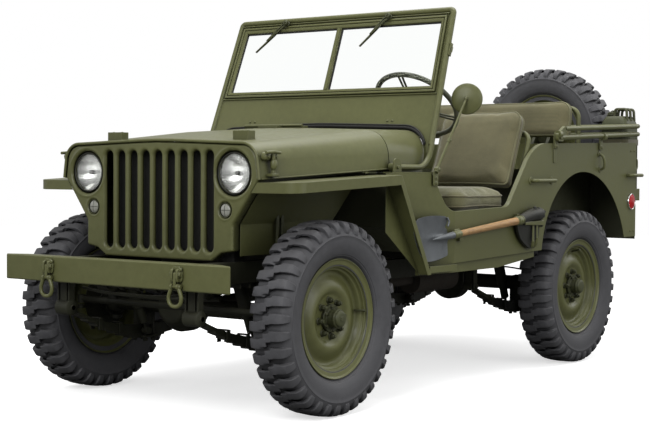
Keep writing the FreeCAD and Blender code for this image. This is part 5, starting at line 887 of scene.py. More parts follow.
def windscreen():
    """Divided sash with its mouldings, rubber seals, wipers, screws and clamps."""
    b = Build()
    low, high = 311, 676
    outer = [(23 - screen_side(low), low), (screen_side(low) - 23, low),
             (screen_side(high) - 23, high), (23 - screen_side(high), high)]
    front = [(0, -2.2), (0, -10), (1.2, -12.5), (3.5, -13.5), (8.5, -13.5), (10.2, -12), (10.8, -8),
             (13.2, -8), (13.8, -10.5), (15, -12), (22, -11), (26, -9), (28.4, -6), (28.8, -1), (28.8, 1.8),
             (0, 1.8)]
    ring_frame(b, outer, front)
    rear = [(1, 2.2), (1, 9), (3, 11), (22, 11), (27, 9), (29, 7.5), (29, 6.8), (1, 6.8)]
    ring_frame(b, outer, rear)
    for outside in (True, False):    # the divider between the panes
        for half, near, far in ((13, 1.9, 9.0), (7.5, 8.6, 12.0)):
            low_y, high_y = (-far, -near) if outside else (near + 6, far + 1)
            b.prism(rect(-half, low_y, half, high_y), "Z", 337, 648, 0.9)
    # the outer tube's neck fillets, the ridge under the sash and the weather bead above it
    for height, deep, radius in ((304, -5.0, 3.4), (686, -8.0, 3.2)):
        half = screen_side(height) - 13
        b.tube([(-half, deep, height), (half, deep, height)], radius, 10)
    for x, h in ((-406, 187), (-378, 187), (378, 181), (404, 181)):
        b.dome((x, -2, h), FORE, 6.0, 4.2)
    # catch of the sash on the driver's side
    h = 512
    x = screen_side(h) + 12
    b.prism(rect(-9, h - 30, 9, h + 30), "X", x, x + 8, 2.0)
    b.dome((x + 8, 0, h + 17), "X", 5.0, 4.0)
    b.tube([(x + 8, -4, h - 22), (x + 17, -6, h - 14), (x + 17, -6, h + 6), (x + 8, -4, h + 10)], 2.6, 8)
    b.make("screen_sash", "windscreen", "olive_paint", OLIVE, matrix=SCREEN)
    seal = Build()
    for side in (-1, 1):
        edge_low, edge_high = ((screen_side(h) - 51) * side for h in (338, 647))
        loop = [(13.0 * side, 338.5), (edge_low, 338.5), (edge_high, 646), (13.0 * side, 646)][::side]
        ring_frame(seal, loop, [(-1.5, -2.5), (3.0, -2.5), (4.0, 0.0), (4.0, 2.1), (-1.5, 2.1)])
        ring_frame(seal, loop, [(-1.5, 6.4), (3.0, 6.4), (3.0, 5.6), (-1.5, 5.6)])
    # rubber bead on the sheet's lower edge, over the cowl
    crown = []
    for p in bonnet_outline(621.5, 960, 1150.5, 139):
        h = (p.y - 1000) / math.cos(RAKE)
        if h > 66:
            crown.append((p.x, -6.5, h + 1.0))
    seal.tube(crown, 7.0, 10)
    seal.tube([(x, y - 5.0, h + 9.0) for x, y, h in crown], 3.4, 8)
    seal.tube([(x, y + 6.0, h - 3.0) for x, y, h in crown], 7.0, 10)
    seal.make("screen_seals", "windscreen", "tyre_rubber", SEAL, matrix=SCREEN)
    wipers()


def wipers():
    """Two wipers parked up and to one side."""
    metal, blade = Build(), Build()
    for x, tip in ((-312, (-470, 545)), (276, (139, 547))):
        pivot = Vector((x, -14, 683))
        metal.lathe([(0, 0), (0, 13), (4, 13), (5, 11), (9, 11), (10, 12.5), (22, 12.5), (24, 10), (24, 0)],
                    pivot, FORE, 28)
        for k in range(14):
            t = 2 * math.pi * k / 14
            metal.tube([(x + 12.3 * math.cos(t), -25, 683 + 12.3 * math.sin(t)),
                        (x + 12.3 * math.cos(t), -36, 683 + 12.3 * math.sin(t))], 1.3, 5)
        metal.bolt((x, -38, 683), FORE, 10, 5, washer=False)
        run = Vector((tip[0], 0, tip[1])) - Vector((x, 0, 683))
        along = run.normalized()
        across = Vector((along.z, 0, -along.x))
        reach = run.length
        for side, stop in ((1, 0.62), (-1, 0.58)):
            p0 = pivot + along * 6 + across * 7.5 * side + FORE * 13
            p1 = pivot + along * reach * stop + across * side + FORE * 7
            metal.tube([p0, (p0 + p1) / 2 + FORE * 1.5, p1], 3.8, 8)
        for share in (0.18, 0.32):
            p = pivot + along * reach * share + FORE * 12
            metal.tube([p - across * 6, p + across * 6], 1.6, 6)
        start = pivot + along * reach * 0.16 + across * 9
        end = Vector((tip[0], -14, tip[1]))
        for deep, bow, radii, segs, tone in ((3, 4, [4.6, 5.2, 3.4], 8, 1), (8, 8.5, [3.0, 3.2, 2.4], 6, 0)):
            blade.tube([start - FORE * deep, (start + end) / 2 - FORE * bow, end - FORE * deep], radii, segs,
                       tone=tone)
    metal.make("wiper_arms", "windscreen", "olive_paint", OLIVE_DARK, matrix=SCREEN)
    blade.make("wiper_blades", "windscreen", "tyre_rubber", SEAL, OLIVE_DARK, matrix=SCREEN)


def pad_start(outline, thick, crown, edge):
    """A pad's starting form: an outline in its own plane, with a rim band and a crowned face."""
    rings = [(edge * 1.6, 0.0), (edge * 0.5, edge * 0.35), (0.0, edge), (0.0, thick - edge),
             (edge * 0.5, thick - edge * 0.35), (edge * 1.6, thick), (edge * 5, thick + crown)]
    n = len(outline)
    verts = [(p.x, p.y, h) for step, h in rings for p in inset(outline, step)]
    faces = [tuple(reversed(range(n))), tuple(range(len(verts) - n, len(verts)))]
    return Build().add(verts, faces + bands(n, len(rings)))


def finer(piece):
    """Divides each face of the pad in four when it is shown."""
    soft = piece.modifiers.new("soft", "SUBSURF")
    soft.levels = soft.render_levels = 1


def puffed(name, build, matrix, mat, cap, pressure, voxel, fine):
    """Swells the pad by cloth simulation with air pressure, caps the movement and smooths it."""
    piece = build.make(name, "chassis", "canvas", mat, matrix=matrix, angle=80)
    remesh = piece.modifiers.new("skin", "REMESH")
    remesh.mode, remesh.voxel_size = "VOXEL", voxel
    bpy.context.view_layer.objects.active = piece
    with bpy.context.temp_override(object=piece, active_object=piece):
        bpy.ops.object.modifier_apply(modifier="skin")
    before = [v.co.copy() for v in piece.data.vertices]
    cloth = piece.modifiers.new("cloth", "CLOTH")
    s = cloth.settings
    s.quality, s.mass = 5, 0.3
    s.tension_stiffness, s.compression_stiffness, s.shear_stiffness, s.bending_stiffness = 18, 12, 8, 0.6
    s.use_pressure, s.uniform_pressure_force = True, pressure
    s.effector_weights.gravity = 0.0
    cloth.point_cache.frame_start, cloth.point_cache.frame_end = 1, 20
    for step in range(1, 21):
        SCENE.frame_set(step)
    graph = bpy.context.evaluated_depsgraph_get()
    swollen = piece.evaluated_get(graph).data
    after = [v.co.copy() for v in swollen.vertices]
    piece.modifiers.remove(cloth)
    SCENE.frame_set(1)
    for vert, start, end in zip(piece.data.vertices, before, after):
        move = end - start
        if move.length > cap:
            move *= cap / move.length
        vert.co = start + move
    bm = bmesh.new()
    bm.from_mesh(piece.data)
    for _ in range(8):
        bmesh.ops.smooth_vert(bm, verts=bm.verts, factor=0.5, use_axis_x=True, use_axis_y=True,
                              use_axis_z=True)
    bm.to_mesh(piece.data)
    bm.free()
    piece.data.polygons.foreach_set("use_smooth", [True] * len(piece.data.polygons))
    if fine:
        finer(piece)
    return piece


def follow(tree, points, out):
    """Points moved to the nearest place on a pad's surface, then out along its normal."""
    moved = []
    for p in points:
        spot, normal, *_ = tree.find_nearest(p)
        moved.append(spot + normal * out)
    return moved


def welts(name, piece, matrix, outline, levels, radius, mat, seams=()):
    """Piping round a pad at each level, and sunk seams, laid on its swollen surface."""
    graph = bpy.context.evaluated_depsgraph_get()
    tree = BVHTree.FromObject(piece, graph)
    b = Build()
    dense = []
    for a, c in zip(outline, outline[1:] + outline[:1]):
        count = max(1, int((c - a).length / 12))
        dense += [a.lerp(c, k / count) for k in range(count)]
    for level, grow in levels:
        ring = [matrix @ Vector((p.x, p.y, level)) for p in inset(dense, grow)]
        b.tube(follow(tree, ring, radius * 0.35), radius, 8, closed=True)
    for seam in seams:
        line = [matrix @ Vector(p) for p in seam]
        b.tube(follow(tree, line, radius * 0.1), radius * 0.6, 6)
    return b.make(name, "chassis", "canvas", mat)


def cushion(name, outline, form, at, mats, cap, pressure, voxel, fine, levels, radius, seams=()):
    """A swollen pad with its welts; form is its thickness, its crown's rise and its edge's radius."""
    pad = puffed(f"{name}_pad", pad_start(outline, *form), at, mats[0], cap, pressure, voxel, fine)
    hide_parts("seat_backs" if "_back" in name else "seat_cushions")
    return pad, welts(f"{name}_welts", pad, at, outline, levels, radius, mats[1], seams)


def passenger_twin(source):
    """The driver's pad or welt mirrored to the other side."""
    name = source.name.replace("driver", "passenger")
    twin = bpy.data.objects.new(name, source.data.copy())
    SCENE.collection.objects.link(twin)
    for v in twin.data.vertices:
        v.co.x = -v.co.x
    twin.data.flip_normals()
    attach(twin, "chassis")
    if "_pad" in name:
        finer(twin)
        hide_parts("seat_cushions" if "seat" in name else "seat_backs")


def seats():
    """Front seats, the passenger's a mirror of the driver's, and the rear bench."""
    # stands a flat pad on its edge
    stand = Matrix(((1, 0, 0, 0), (0, 0, -1, 0), (0, 1, 0, 0), (0, 0, 0, 1)))

    def leaning(x, y, z, degrees, thick):
        return (CAR @ Matrix.Translation((x, y, z)) @ Matrix.Rotation(math.radians(-degrees), 4, "X") @ stand
                @ Matrix.Translation((0, 0, -thick)))

    light, dark = (DUCK_LIGHT, DUCK), (DUCK, DUCK_LIGHT)
    front = cushion("driver_seat", inset(soft_rect(205, 905, 675, 1330, 70, 46), 8), (88, 5, 22),
                    CAR @ Matrix.Translation((0, 0, 776)), light, 0.011, 2.4, 0.006, True,
                    ((66, -2), (12, -2)), 0.0042)
    front += cushion("driver_back", inset(soft_rect(-221, 0, 221, 388, 22, 62), 5), (62, 5, 14),
                     leaning(440, 1370, 876, 23, 30), dark, 0.008, 2.2, 0.006, True, ((52, -2), (9, -2)),
                     0.004)
    for source in front:
        passenger_twin(source)
    seams = [[(x, 1850 + k * 12, 78) for k in range(31)] for x in (-143, 143)]
    cushion("bench_seat", inset(soft_rect(-430, 1830, 430, 2230, 50), 14), (84, 5, 20),
            CAR @ Matrix.Translation((0, 0, 809)), light, 0.01, 2.4, 0.008, False,
            ((64, -2), (14, -2)), 0.004, seams)
    cushion("bench_back", inset(soft_rect(-501, 0, 501, 194, 22, 58), 5), (46, 4, 12),
            leaning(0, 2292, 1128, 6, 22), dark, 0.007, 2.2, 0.007, False, ((38, -2), (8, -2)), 0.0038)


# ---- Stores and fittings, in millimetres from the front axle: across, aft and up ----
def dished(build, loop, plane_x, dish, thick, rings):
    """A plate in the side view from a smooth outline of (aft, z), pushed out by dish(u, v, share)."""
    n = len(loop)
    mid = sum(loop, Vector((0, 0))) / n
    sides = []
    for face in (0, 1):
        verts = [(plane_x + dish(mid.x, mid.y, 0.0) - face * thick, mid.x, mid.y)]
        for r in range(1, rings + 1):
            share = r / rings
            for p in loop:
                q = mid.lerp(p, share)
                verts.append((plane_x + dish(q.x, q.y, share) - face * thick, q.x, q.y))
        faces = [(0, 1 + k, 1 + (k + 1) % n) for k in range(n)]
        for r in range(rings - 1):
            a, b = 1 + r * n, 1 + (r + 1) * n
            faces += [(a + k, b + k, b + (k + 1) % n, a + (k + 1) % n) for k in range(n)]
        sides.append((verts, faces))
    (front, faces), (back, _) = sides
    count = len(front)
    last = 1 + (rings - 1) * n
    rim = [(last + k, last + (k + 1) % n, count + last + (k + 1) % n, count + last + k) for k in range(n)]
    return build.add(front + back, faces + [tuple(count + i for i in reversed(f)) for f in faces] + rim)


def smooth_loop(points, per):
    """A closed smooth outline through points in a plane."""
    return [Vector((p.x, p.y)) for p in smooth_path([(a, b, 0) for a, b in points], per, closed=True)]


def shovel():
    """Round-point shovel: dished blade with turned step and socket, ash handle, paint ferrules."""
    b = Build()
    x = 727
    edge = smooth_loop([(486, 668), (472, 706), (478, 738), (508, 756), (588, 764), (680, 762), (708, 757),
                        (719, 742), (716, 726), (708, 714), (722, 702), (727, 680), (727, 643), (727, 606),
                        (716, 592), (652, 579), (575, 574), (535, 590), (506, 628)], 6)

    def dish(y, z, share):
        """A hollow across the blade, a ridge that grows towards the socket, and a step at the top."""
        across = (z - 668) / 95
        ridge = 9.0 * math.exp(-((z - 670) / 12) ** 2) * max(0.0, min(1.0, (y - 560) / 130))
        return -7 * (1 - across * across) + ridge + 3.0 * max(0.0, min(1.0, (y - 690) / 30))

    dished(b, edge, x, dish, 2.2, rings=16)
    b.tube([(x + 6, 709, 755), (x + 10, 719, 738), (x + 9, 711, 718)], 4.6, 10)

    slope = 0.0835

    def line(y):
        """A place on the handle's middle line."""
        return (745, y, 684.5 + (y - 794) * slope)

    b.tube([line(y) for y in (578, 620, 665, 705, 738)], [1.5, 6.5, 10.5, 13.5, 15.0], 20)
    b.tube([line(y) for y in (740, 747, 786, 794)], [15.2, 16.4, 16.4, 15.0], 24, tone=1)
    b.prism([(748, 692), (790, 695), (790, 706), (748, 703)], "X", 738, 748, 2.0, tone=1)
    b.dome((761, 768, 683), "X", 4.2, tone=1)
    handle = smooth_path([line(y) for y in (792, 900, 1040, 1160, 1284)], 5)
    b.tube(handle, [13.4 + 4.2 * k / 20 for k in range(len(handle))], 24, tone=2)
    b.tube([line(y) for y in (1280, 1284, 1330, 1334)], [18.2, 20.4, 21.4, 19.0], 24, tone=1)
    for y in (1290, 1324):
        b.lathe([(-2.2, 20.0), (-2.2, 22.4), (2.2, 22.4), (2.2, 20.0)], line(y),
                Vector((0, 1, slope)).normalized(), 24, 1, loop=True)
    b.dome((766, 1307, 727), "X", 4.0, tone=1)
    b.make("shovel_whole", "chassis", "tool", STEEL, OLIVE, WOOD, stands_for=("shovel",), matrix=CAR)


def axe():
    """Axe head held by a bent clamp with its bolts, over the sleeve at the handle's end."""
    b = Build()
    x = 734
    edge = smooth_loop([(1296, 724), (1303, 696), (1314, 674), (1334, 648), (1356, 630), (1380, 615),
                        (1412, 600), (1444, 594), (1478, 600), (1500, 616), (1508, 662), (1514, 712),
                        (1522, 750), (1500, 768), (1420, 764), (1330, 744)], 5)

    def wedge(y, z, share):
        """Thin at the cutting edge, which is the low one, and thick towards the handle."""
        fat = max(0.0, min(1.0, (z - 596) / 150))
        return 4 + 11 * fat * (1 - share ** 3 * 0.55)

    dished(b, edge, x, wedge, 12, rings=8)
    sleeve = smooth_path([(742, 1334, 730), (742, 1366, 738), (742, 1410, 746), (742, 1460, 752),
                          (742, 1500, 754), (742, 1522, 754)], 5)
    last = len(sleeve) - 1
    shares = [k / last for k in range(last + 1)]
    b.tube(sleeve, [21 + 9 * min(1.0, 1.6 * t) - 14 * max(0.0, t - 0.85) / 0.15 for t in shares], 22)
    for at, size in (((750, 1449, 784), 8), ((752, 1478, 780), 6), ((750, 1512, 772), 8)):
        b.lathe([(-8, 0), (-8, size), (3, size), (6, size * 0.6), (6, 0)], at, "Z", 16)
    # bent clamp over the blade, with its bolts
    for y0, y1, z1 in ((1424, 1442, 626), (1462, 1478, 640)):
        b.prism(rect(y0, z1, y1, 712), "X", 749, 753, 1.2, tone=1)
    b.tube(smooth_path([(751, 1433, 630), (746, 1438, 610), (736, 1446, 596)], 5), 8, 10, tone=1, flat=0.35)
    b.tube(smooth_path([(751, 1470, 644), (746, 1470, 616), (736, 1468, 602)], 5), 7, 10, tone=1, flat=0.35)
    b.prism(rounded([(1346, 706, 4), (1520, 700, 4), (1524, 724, 4), (1346, 720, 4)], 16), "X", 752, 760, 2.0,
            tone=1)
    for y, z in ((1536, 763), (1531, 743), (1512, 717), (1515, 701)):
        b.bolt((748, y, z), "X", 13, 9)
        b.tube([(722, y, z), (748, y, z)], 4.5, 8)
    b.prism([(1502, 690), (1526, 690), (1542, 774), (1518, 774)], "X", 740, 748, 1.5, tone=1)
    b.make("axe_head_clamp", "chassis", "cast_metal", IRON, OLIVE, stands_for=("axe",), matrix=CAR)


def rear_view_mirror():
    """Round mirror: spun cone back, rim, glass, a clamp bolt and a jointed arm with its bracket."""
    b = Build()
    centre = Vector((706, 905, 1264))
    turn = math.radians(24)
    ahead = Vector((math.sin(turn), -math.cos(turn), 0))
    b.lathe([(-11.5, 0), (-11.5, 64.5), (-12.5, 67), (-10, 68), (-6, 68), (-1, 66.2), (4, 58), (8, 42),
             (11, 24), (13, 12), (14, 6), (14, 0)], centre, ahead, 56)
    b.lathe([(-11.2, 0), (-11.2, 63.6), (-11.9, 63.6), (-11.9, 0)], centre, ahead, 56, 1)
    apex = centre + ahead * 12
    b.lathe([(0, 0), (0, 8.5), (5, 8.5), (6, 7), (12, 6.8), (13, 4), (13, 0)], apex, ahead, 20)
    b.bolt(apex + ahead * 12, ahead, 9.5, 5, washer=False)
    foot = Vector((710, 662, 955))
    top = apex + ahead * 5
    low = foot + Vector((0, 0, 4))
    elbow = low.lerp(top, 0.4)
    arm = (top - low).normalized()
    b.tube([low, elbow], 6.2, 12)
    b.tube([elbow - arm * 6, top], 5.2, 12)
    b.drum(elbow, arm, 10, 8.6, 16)
    b.bolt(elbow + Vector((7, 0, 0)), "X", 8, 5)
    b.drum(top, "Z", 7, 7.5, 14)
    b.prism(soft_rect(644, 889, 680, 952, 4, 8, 20), "X", 700.5, 706, 1.2)
    b.drum(foot + Vector((0, 0, 2)), "X", 9, 11, 20)
    b.lathe([(-12, 0), (-12, 10.5), (14, 9), (14, 0)], foot, arm, 18)
    b.bolt(foot + Vector((9, 0, 2)), "X", 11, 7)
    for z in (900, 922):
        b.bolt((706, 662, z), "X", 11, 6)
    b.make("mirror_whole", "chassis", "olive_paint", OLIVE, MIRROR, stands_for=("mirror",), matrix=CAR)


def can_loft(build, rings):
    """A rounded-rectangle loft: each ring is half width, half depth, corner, and height."""
    verts = [(p.x, p.y, z) for half_x, half_y, bend, z in rings
             for p in soft_rect(-half_x, -half_y, half_x, half_y, bend, step=17)]
    n = len(verts) // len(rings)
    caps = [tuple(reversed(range(n))), tuple(range(len(verts) - n, len(verts)))]
    return build.add(verts, bands(n, len(rings)) + caps)


def fuel_can():
    """The stores can: pressed sides with a cross of ribs, sloped shoulders, cap lever, three handles."""
    b = Build()
    rings = [(70, 72, 22, 801), (76, 80.5, 26, 806), (77.5, 82, 27, 818), (77.5, 82, 27, 822),
             (76, 80.5, 26, 826), (77.5, 82, 27, 830), (77.5, 82, 27, 1034), (76, 80.5, 26, 1038),
             (77.5, 82, 27, 1042), (77.5, 82, 27, 1196), (76.5, 81, 27, 1206), (66, 74, 26, 1232),
             (56, 68, 24, 1246), (52, 64, 22, 1250), (20, 24, 12, 1252)]
    can_loft(b, rings)
    # each face has a frame and two round ribs that bow out to the middle
    for side in (-1, 1):
        for sign in (-1, 1):
            b.tube([(-44 * sign, 82 * side, 880), (0, 84.5 * side, 1010), (44 * sign, 82 * side, 1140)],
                   5.5, 8, flat=0.5)
        b.tube([(x, 82 * side, z) for x, z in rect(-54, 860, 54, 1165)], 3.4, 6, closed=True)
        for sign in (-1, 1):
            b.tube([(77 * side, -48 * sign, 880), (79.5 * side, 0, 1010), (77 * side, 48 * sign, 1140)],
                   5.5, 8, flat=0.5)
        b.tube([(77 * side, y, z) for y, z in rect(-58, 860, 58, 1165)], 3.4, 6, closed=True)
    for offset in (-45, 0, 45):
        route = rounded([(-8, 1238), (-4, 1288, 14), (62, 1288, 16), (66, 1226)], 18)
        b.tube([(p.x, offset, p.y) for p in route], 7.5, 12)
    b.lathe([(0, 0), (0, 25), (10, 25), (12, 27), (26, 27), (29, 24), (30, 0)], (-36, 0, 1246), "Z", 32)
    b.lathe([(0, 28), (0, 30.5), (5, 30.5), (5, 28)], (-36, 0, 1256), "Z", 32, loop=True)
    b.tube([(-62, -14, 1254), (-66, 0, 1268), (-40, 0, 1281), (-12, 0, 1276)], 4.2, 8)
    b.prism(rect(-70, -8, -56, 8), "Z", 1248, 1262, 1.5)
    spot = CAR @ Matrix.Translation((561, 2661 + 82.5, 0))
    b.make("stores_can", "chassis", "olive_paint", OLIVE_DARK, stands_for=("fuel_can",), matrix=spot)
    # webbing strap with its buckle and loose end, round the can and the rack
    s = Build()
    z, half, thick = 1110, 16, 2.6
    loop = soft_rect(-80.5, -85, 80.5, 85, 30)
    corners = ((0, z - half), (thick, z - half), (thick, z + half), (0, z + half))
    s.add([(q.x, q.y, height) for out, height in corners for q in inset(loop, -out)],
          bands(len(loop), 4, True))
    s.prism(rect(-26, z - 22, 26, z + 22), "Y", 87, 92, 1.5, tone=1)
    s.tube([(x, 94, height) for x, height in rect(-20, z - 18, 20, z + 18)], 2.6, 8, closed=True, tone=1)
    s.prism([(-14, z - 13), (14, z - 60), (20, z - 60), (20, z - 13)], "Y", 88, 90.5, 0.8)
    s.make("can_strap", "chassis", "canvas", WEBBING, IRON, matrix=spot)


def reflectors():
    """Round side reflectors in bright rings, and the tail lamps in their guards."""
    b = Build()
    for side in (1, -1):
        at = (715.5 * side, 2565, 795)
        out = OUT[side]
        b.lathe([(0, 0), (0, 43), (4, 43), (7, 42), (8, 40), (7, 38.5), (6, 38), (5, 0)], at, out, 48, 1)
        lens = [(6.2 + 6 * (1 - (r / 38) ** 2), r) for r in (38, 33, 26, 19, 11, 4, 0)]
        b.lathe([(5.0, 38)] + lens, at, out, 48, 0)
        for t in (90, 210, 330):
            a = math.radians(t)
            b.dome((at[0] + 5.5 * side, at[1] + 41 * math.cos(a), at[2] + 41 * math.sin(a)), out, 2.8, 3.6,
                   tone=2)
        lamp = (610 * side, 2625.5, 735)
        b.lathe([(0, 0), (0, 28), (22, 28), (26, 27), (28, 25), (28, 22), (26, 21.5), (26, 0)], lamp, "Y", 40,
                2)
        b.lathe([(25, 0), (25, 21), (28, 20), (29.4, 12), (29.6, 0)], lamp, "Y", 32, 0)
        b.tube([(586 * side, 2625.5, 735), (586 * side, 2656, 735), (634 * side, 2656, 735),
                (634 * side, 2625.5, 735)], 3, 8, tone=2)
    b.make("lamps_and_reflectors", "chassis", "lamp_metal", RED_LENS, CHROME, OLIVE,
           stands_for=("rear_lamps",), matrix=CAR)


# ---- Steering wheel, bumper and the fittings along the tub ----
def steering_wheel():
    """Moulded rim with finger grips behind, three spokes of paired rods, hub and horn button."""
    b = Build()
    centre = Vector((0.363, aft(1036), 1.25))
    rise = math.radians(48)
    column = Vector((0, math.cos(rise), math.sin(rise)))
    side = AXES["X"]
    up = column.cross(side).normalized() * -1
    ring = 0.194
    turns = [2 * math.pi * k / 96 for k in range(96)]
    b.tube([centre + side * ring * math.cos(t) + up * ring * math.sin(t) for t in turns], 0.0118, 14,
           closed=True)
    for k in range(36):
        t = 2 * math.pi * (k + 0.5) / 36
        spot = centre + (side * math.cos(t) + up * math.sin(t)) * ring - column * 0.0085
        b.dome(spot, -column, 0.0052, 0.0048)
    for k in range(3):
        t = math.radians(90 + 120 * k)
        out = side * math.cos(t) + up * math.sin(t)
        across = column.cross(out)
        for shift in (-0.0065, 0.0065):
            line = [centre + out * 0.026 + across * shift - column * 0.012,
                    centre + out * 0.11 + across * shift * 1.2 - column * 0.01,
                    centre + out * 0.186 + across * shift * 1.5]
            b.tube(smooth_path(line, 6), 0.0048, 10, tone=1)
    b.lathe([(-0.03, 0), (-0.03, 0.024), (-0.022, 0.03), (-0.008, 0.034), (0.002, 0.03), (0.004, 0.022),
             (0.004, 0.0)], centre - column * 0.006, column, 40, 1)
    b.lathe([(0.0, 0.0), (0.0, 0.016), (0.004, 0.0155), (0.0065, 0.012), (0.0075, 0)],
            centre - column * 0.002, column, 32, 2)
    b.make("steering_wheel_moulded", "steering_wheel", "dark_paint", GRIP, OLIVE_DARK, IRON,
           stands_for=("steering_wheel",))


def bumper():
    """Pressed channel with rolled edges; its flanges run out to nothing at both ends."""
    b = Build()
    fore, back, low, high = -541, -537, 503, 605
    # place across and depth of the flanges there
    ends = [(597, 3), (588, 6), (560, 22), (520, 44), (500, 49)]
    stations = [(-x, depth) for x, depth in ends] + ends[::-1]
    verts = []
    for x, depth in stations:
        outer = [(fore + depth, high), (back, high), (fore, high - 4), (fore, low + 4), (back, low),
                 (fore + depth, low), (fore + depth, low + 5), (-535.5, low + 5), (-536, 513), (-536, 595),
                 (-535.5, high - 5), (fore + depth, high - 5)]
        verts += [(x, y, z) for y, z in outer]
    n = len(verts) // len(stations)
    faces = [(a + k, a + n + k, a + n + (k + 1) % n, a + (k + 1) % n)
             for a in range(0, len(verts) - n, n) for k in range(n)]
    b.add(verts, faces + [tuple(range(n)), tuple(reversed(range(len(verts) - n, len(verts))))])
    b.make("bumper_channel", "chassis", "olive_paint", OLIVE, stands_for=("front_bumper",), matrix=CAR)


def span(a, b, side):
    """Two distances from the car's middle as an ascending pair on one side of it."""
    return sorted((a * side, b * side))


def tub_fittings():
    """Clamps of the folded bows, bracket loops on the sides and rows of screws."""
    b = Build()
    for side in (1, -1):
        for y in (1705, 2190):
            b.drum((736 * side, y, 1128), "Y", 13, 19, 28)
            b.prism(soft_rect(y - 15, 1060, y + 15, 1140, 5, 8, 14), "X", *span(717, 725, side), 1.5)
            b.bolt((725 * side, y, 1074), OUT[side], 15, 7)
        loop = smooth_path([(720 * side, 2180, 1040), (738 * side, 2182, 1028), (744 * side, 2186, 1000),
                            (740 * side, 2190, 972), (722 * side, 2192, 962)], 6)
        b.tube(loop, 6.5, 10)
        for y, z in ((2180, 1040), (2192, 962)):
            b.lathe([(0, 0), (0, 15), (4, 14), (5, 0)], (715.4 * side, y, z), OUT[side], 20)
        for y in (1470, 1671):
            b.lathe([(0, 0), (0, 19), (4, 17), (5, 10), (5, 0)], (715.4 * side, y, 908), OUT[side], 24)
            for dz in (-13, 13):
                b.dome((718 * side, y, 908 + dz), OUT[side], 3.4, 3.0)
        for y, z in ((2560, 1060), (2600, 1060), (2560, 640), (2600, 640), (1260, 700), (1360, 700)):
            b.dome((715.3 * side, y, z), OUT[side], 5.5, 3.4)
    b.make("tub_fittings", "chassis", "cast_metal", OLIVE, matrix=CAR)


def dash():
    """Blank dials and switches, each set on the instrument panel's own surface."""
    panel = bpy.data.objects["instrument_panel"]
    tree = BVHTree.FromObject(panel, bpy.context.evaluated_depsgraph_get())
    to_local = panel.matrix_world.inverted()
    low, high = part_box("instrument_panel")
    middle = (low[2] + high[2]) / 2
    b = Build()
    dials = [(0.0, 0.012, 0.044)] + [(x, rise, 0.024) for x in (-0.098, 0.098) for rise in (0.026, -0.03)]
    switches = [(x, -0.02, 0.01) for x in (0.2, 0.235, -0.18, -0.215)]
    for x, rise, size in dials + switches:
        start = to_local @ Vector((x, high[1] + 0.2, middle + rise))
        spot, normal, *_ = tree.ray_cast(start, to_local.to_3x3() @ FORE)
        if spot is None:
            continue
        spot = panel.matrix_world @ spot
        out = (panel.matrix_world.to_3x3() @ normal).normalized()
        if (x, rise, size) in dials:
            b.lathe([(0, 0), (0, size), (0.004, size), (0.006, size * 0.96), (0.006, size * 0.88),
                     (0.003, size * 0.86), (0.003, 0)], spot, out, 40, 1)
            b.lathe([(0.0032, 0), (0.0032, size * 0.84), (0.0036, size * 0.84), (0.0036, 0)], spot, out, 40,
                    0)
            b.lathe([(0.0036, 0), (0.0036, size * 0.12), (0.0055, size * 0.1), (0.0055, 0)], spot, out, 16, 1)
        else:
            b.lathe([(0, 0), (0, size), (0.005, size * 0.9), (0.005, size * 0.5), (0.017, size * 0.45),
                     (0.022, size * 0.75), (0.026, size * 0.7), (0.028, 0)], spot, out, 20, 1)
    b.make("dash_dials", "chassis", "dark_paint", DIAL, IRON)


# ---- Towing gear, spring ends and fittings under the nose ----
SPRING_X = 345    # millimetres from the car's middle
def tow_gear():
    """Lugs with clevis ears and pin, a link and a horseshoe shackle on each end of the bumper."""
    b = Build()
    for side in (1, -1):
        x = SPRING_X * side
        plate = rounded([(x - 27, 536, 12), (x + 27, 536, 12), (x + 30, 572, 16), (x + 18, 594, 14),
                         (x - 18, 594, 14), (x - 30, 572, 16)], 18)
        b.prism(plate, "Y", -549, -541, 1.5)
        for low, high in ((x - 18, x - 8), (x + 8, x + 18)):
            ear = rounded([(-549, 538, 4), (-549, 588, 4), (-562, 584, 8), (-564, 552, 8), (-558, 536, 6)],
                          14)
            b.prism(ear, "X", low, high, 1.5)
        b.tube([(x - 23, -550, 566), (x + 23, -550, 566)], 6.2, 16)
        b.bolt((x + 19, -550, 566), "X", 19, 8)
        b.bolt((x - 19, -550, 566), OUT[-1], 17, 7)
        b.bolt((x + 21, -549, 583), FORE, 13, 6)
        b.bolt((x - 21, -549, 545), FORE, 13, 6)
        link = rounded([(-548, 516, 5), (-548, 572, 5), (-561, 572, 5), (-561, 516, 5)], 14)
        b.prism(link, "X", x - 7, x + 7, 2.0)
        b.tube([(x - 25, -554, 520), (x + 25, -554, 520)], 6.5, 16)
        for eye in (x - 15, x + 15):
            b.drum((eye, -554, 520), "X", 5, 10.8)
        b.bolt((x + 20, -552, 520), "X", 15, 7)
        half = [(15, -554, 520), (22, -554.5, 506), (31, -555, 482), (27, -555, 460), (12, -555, 448)]
        bow = [(x - dx, y, z) for dx, y, z in half] + [(x + dx, y, z) for dx, y, z in half[::-1]]
        b.tube(smooth_path(bow, 5), 7.6, 14)
    b.make("tow_gear", "chassis", "cast_metal", OLIVE, stands_for=("tow_shackles",), matrix=CAR)


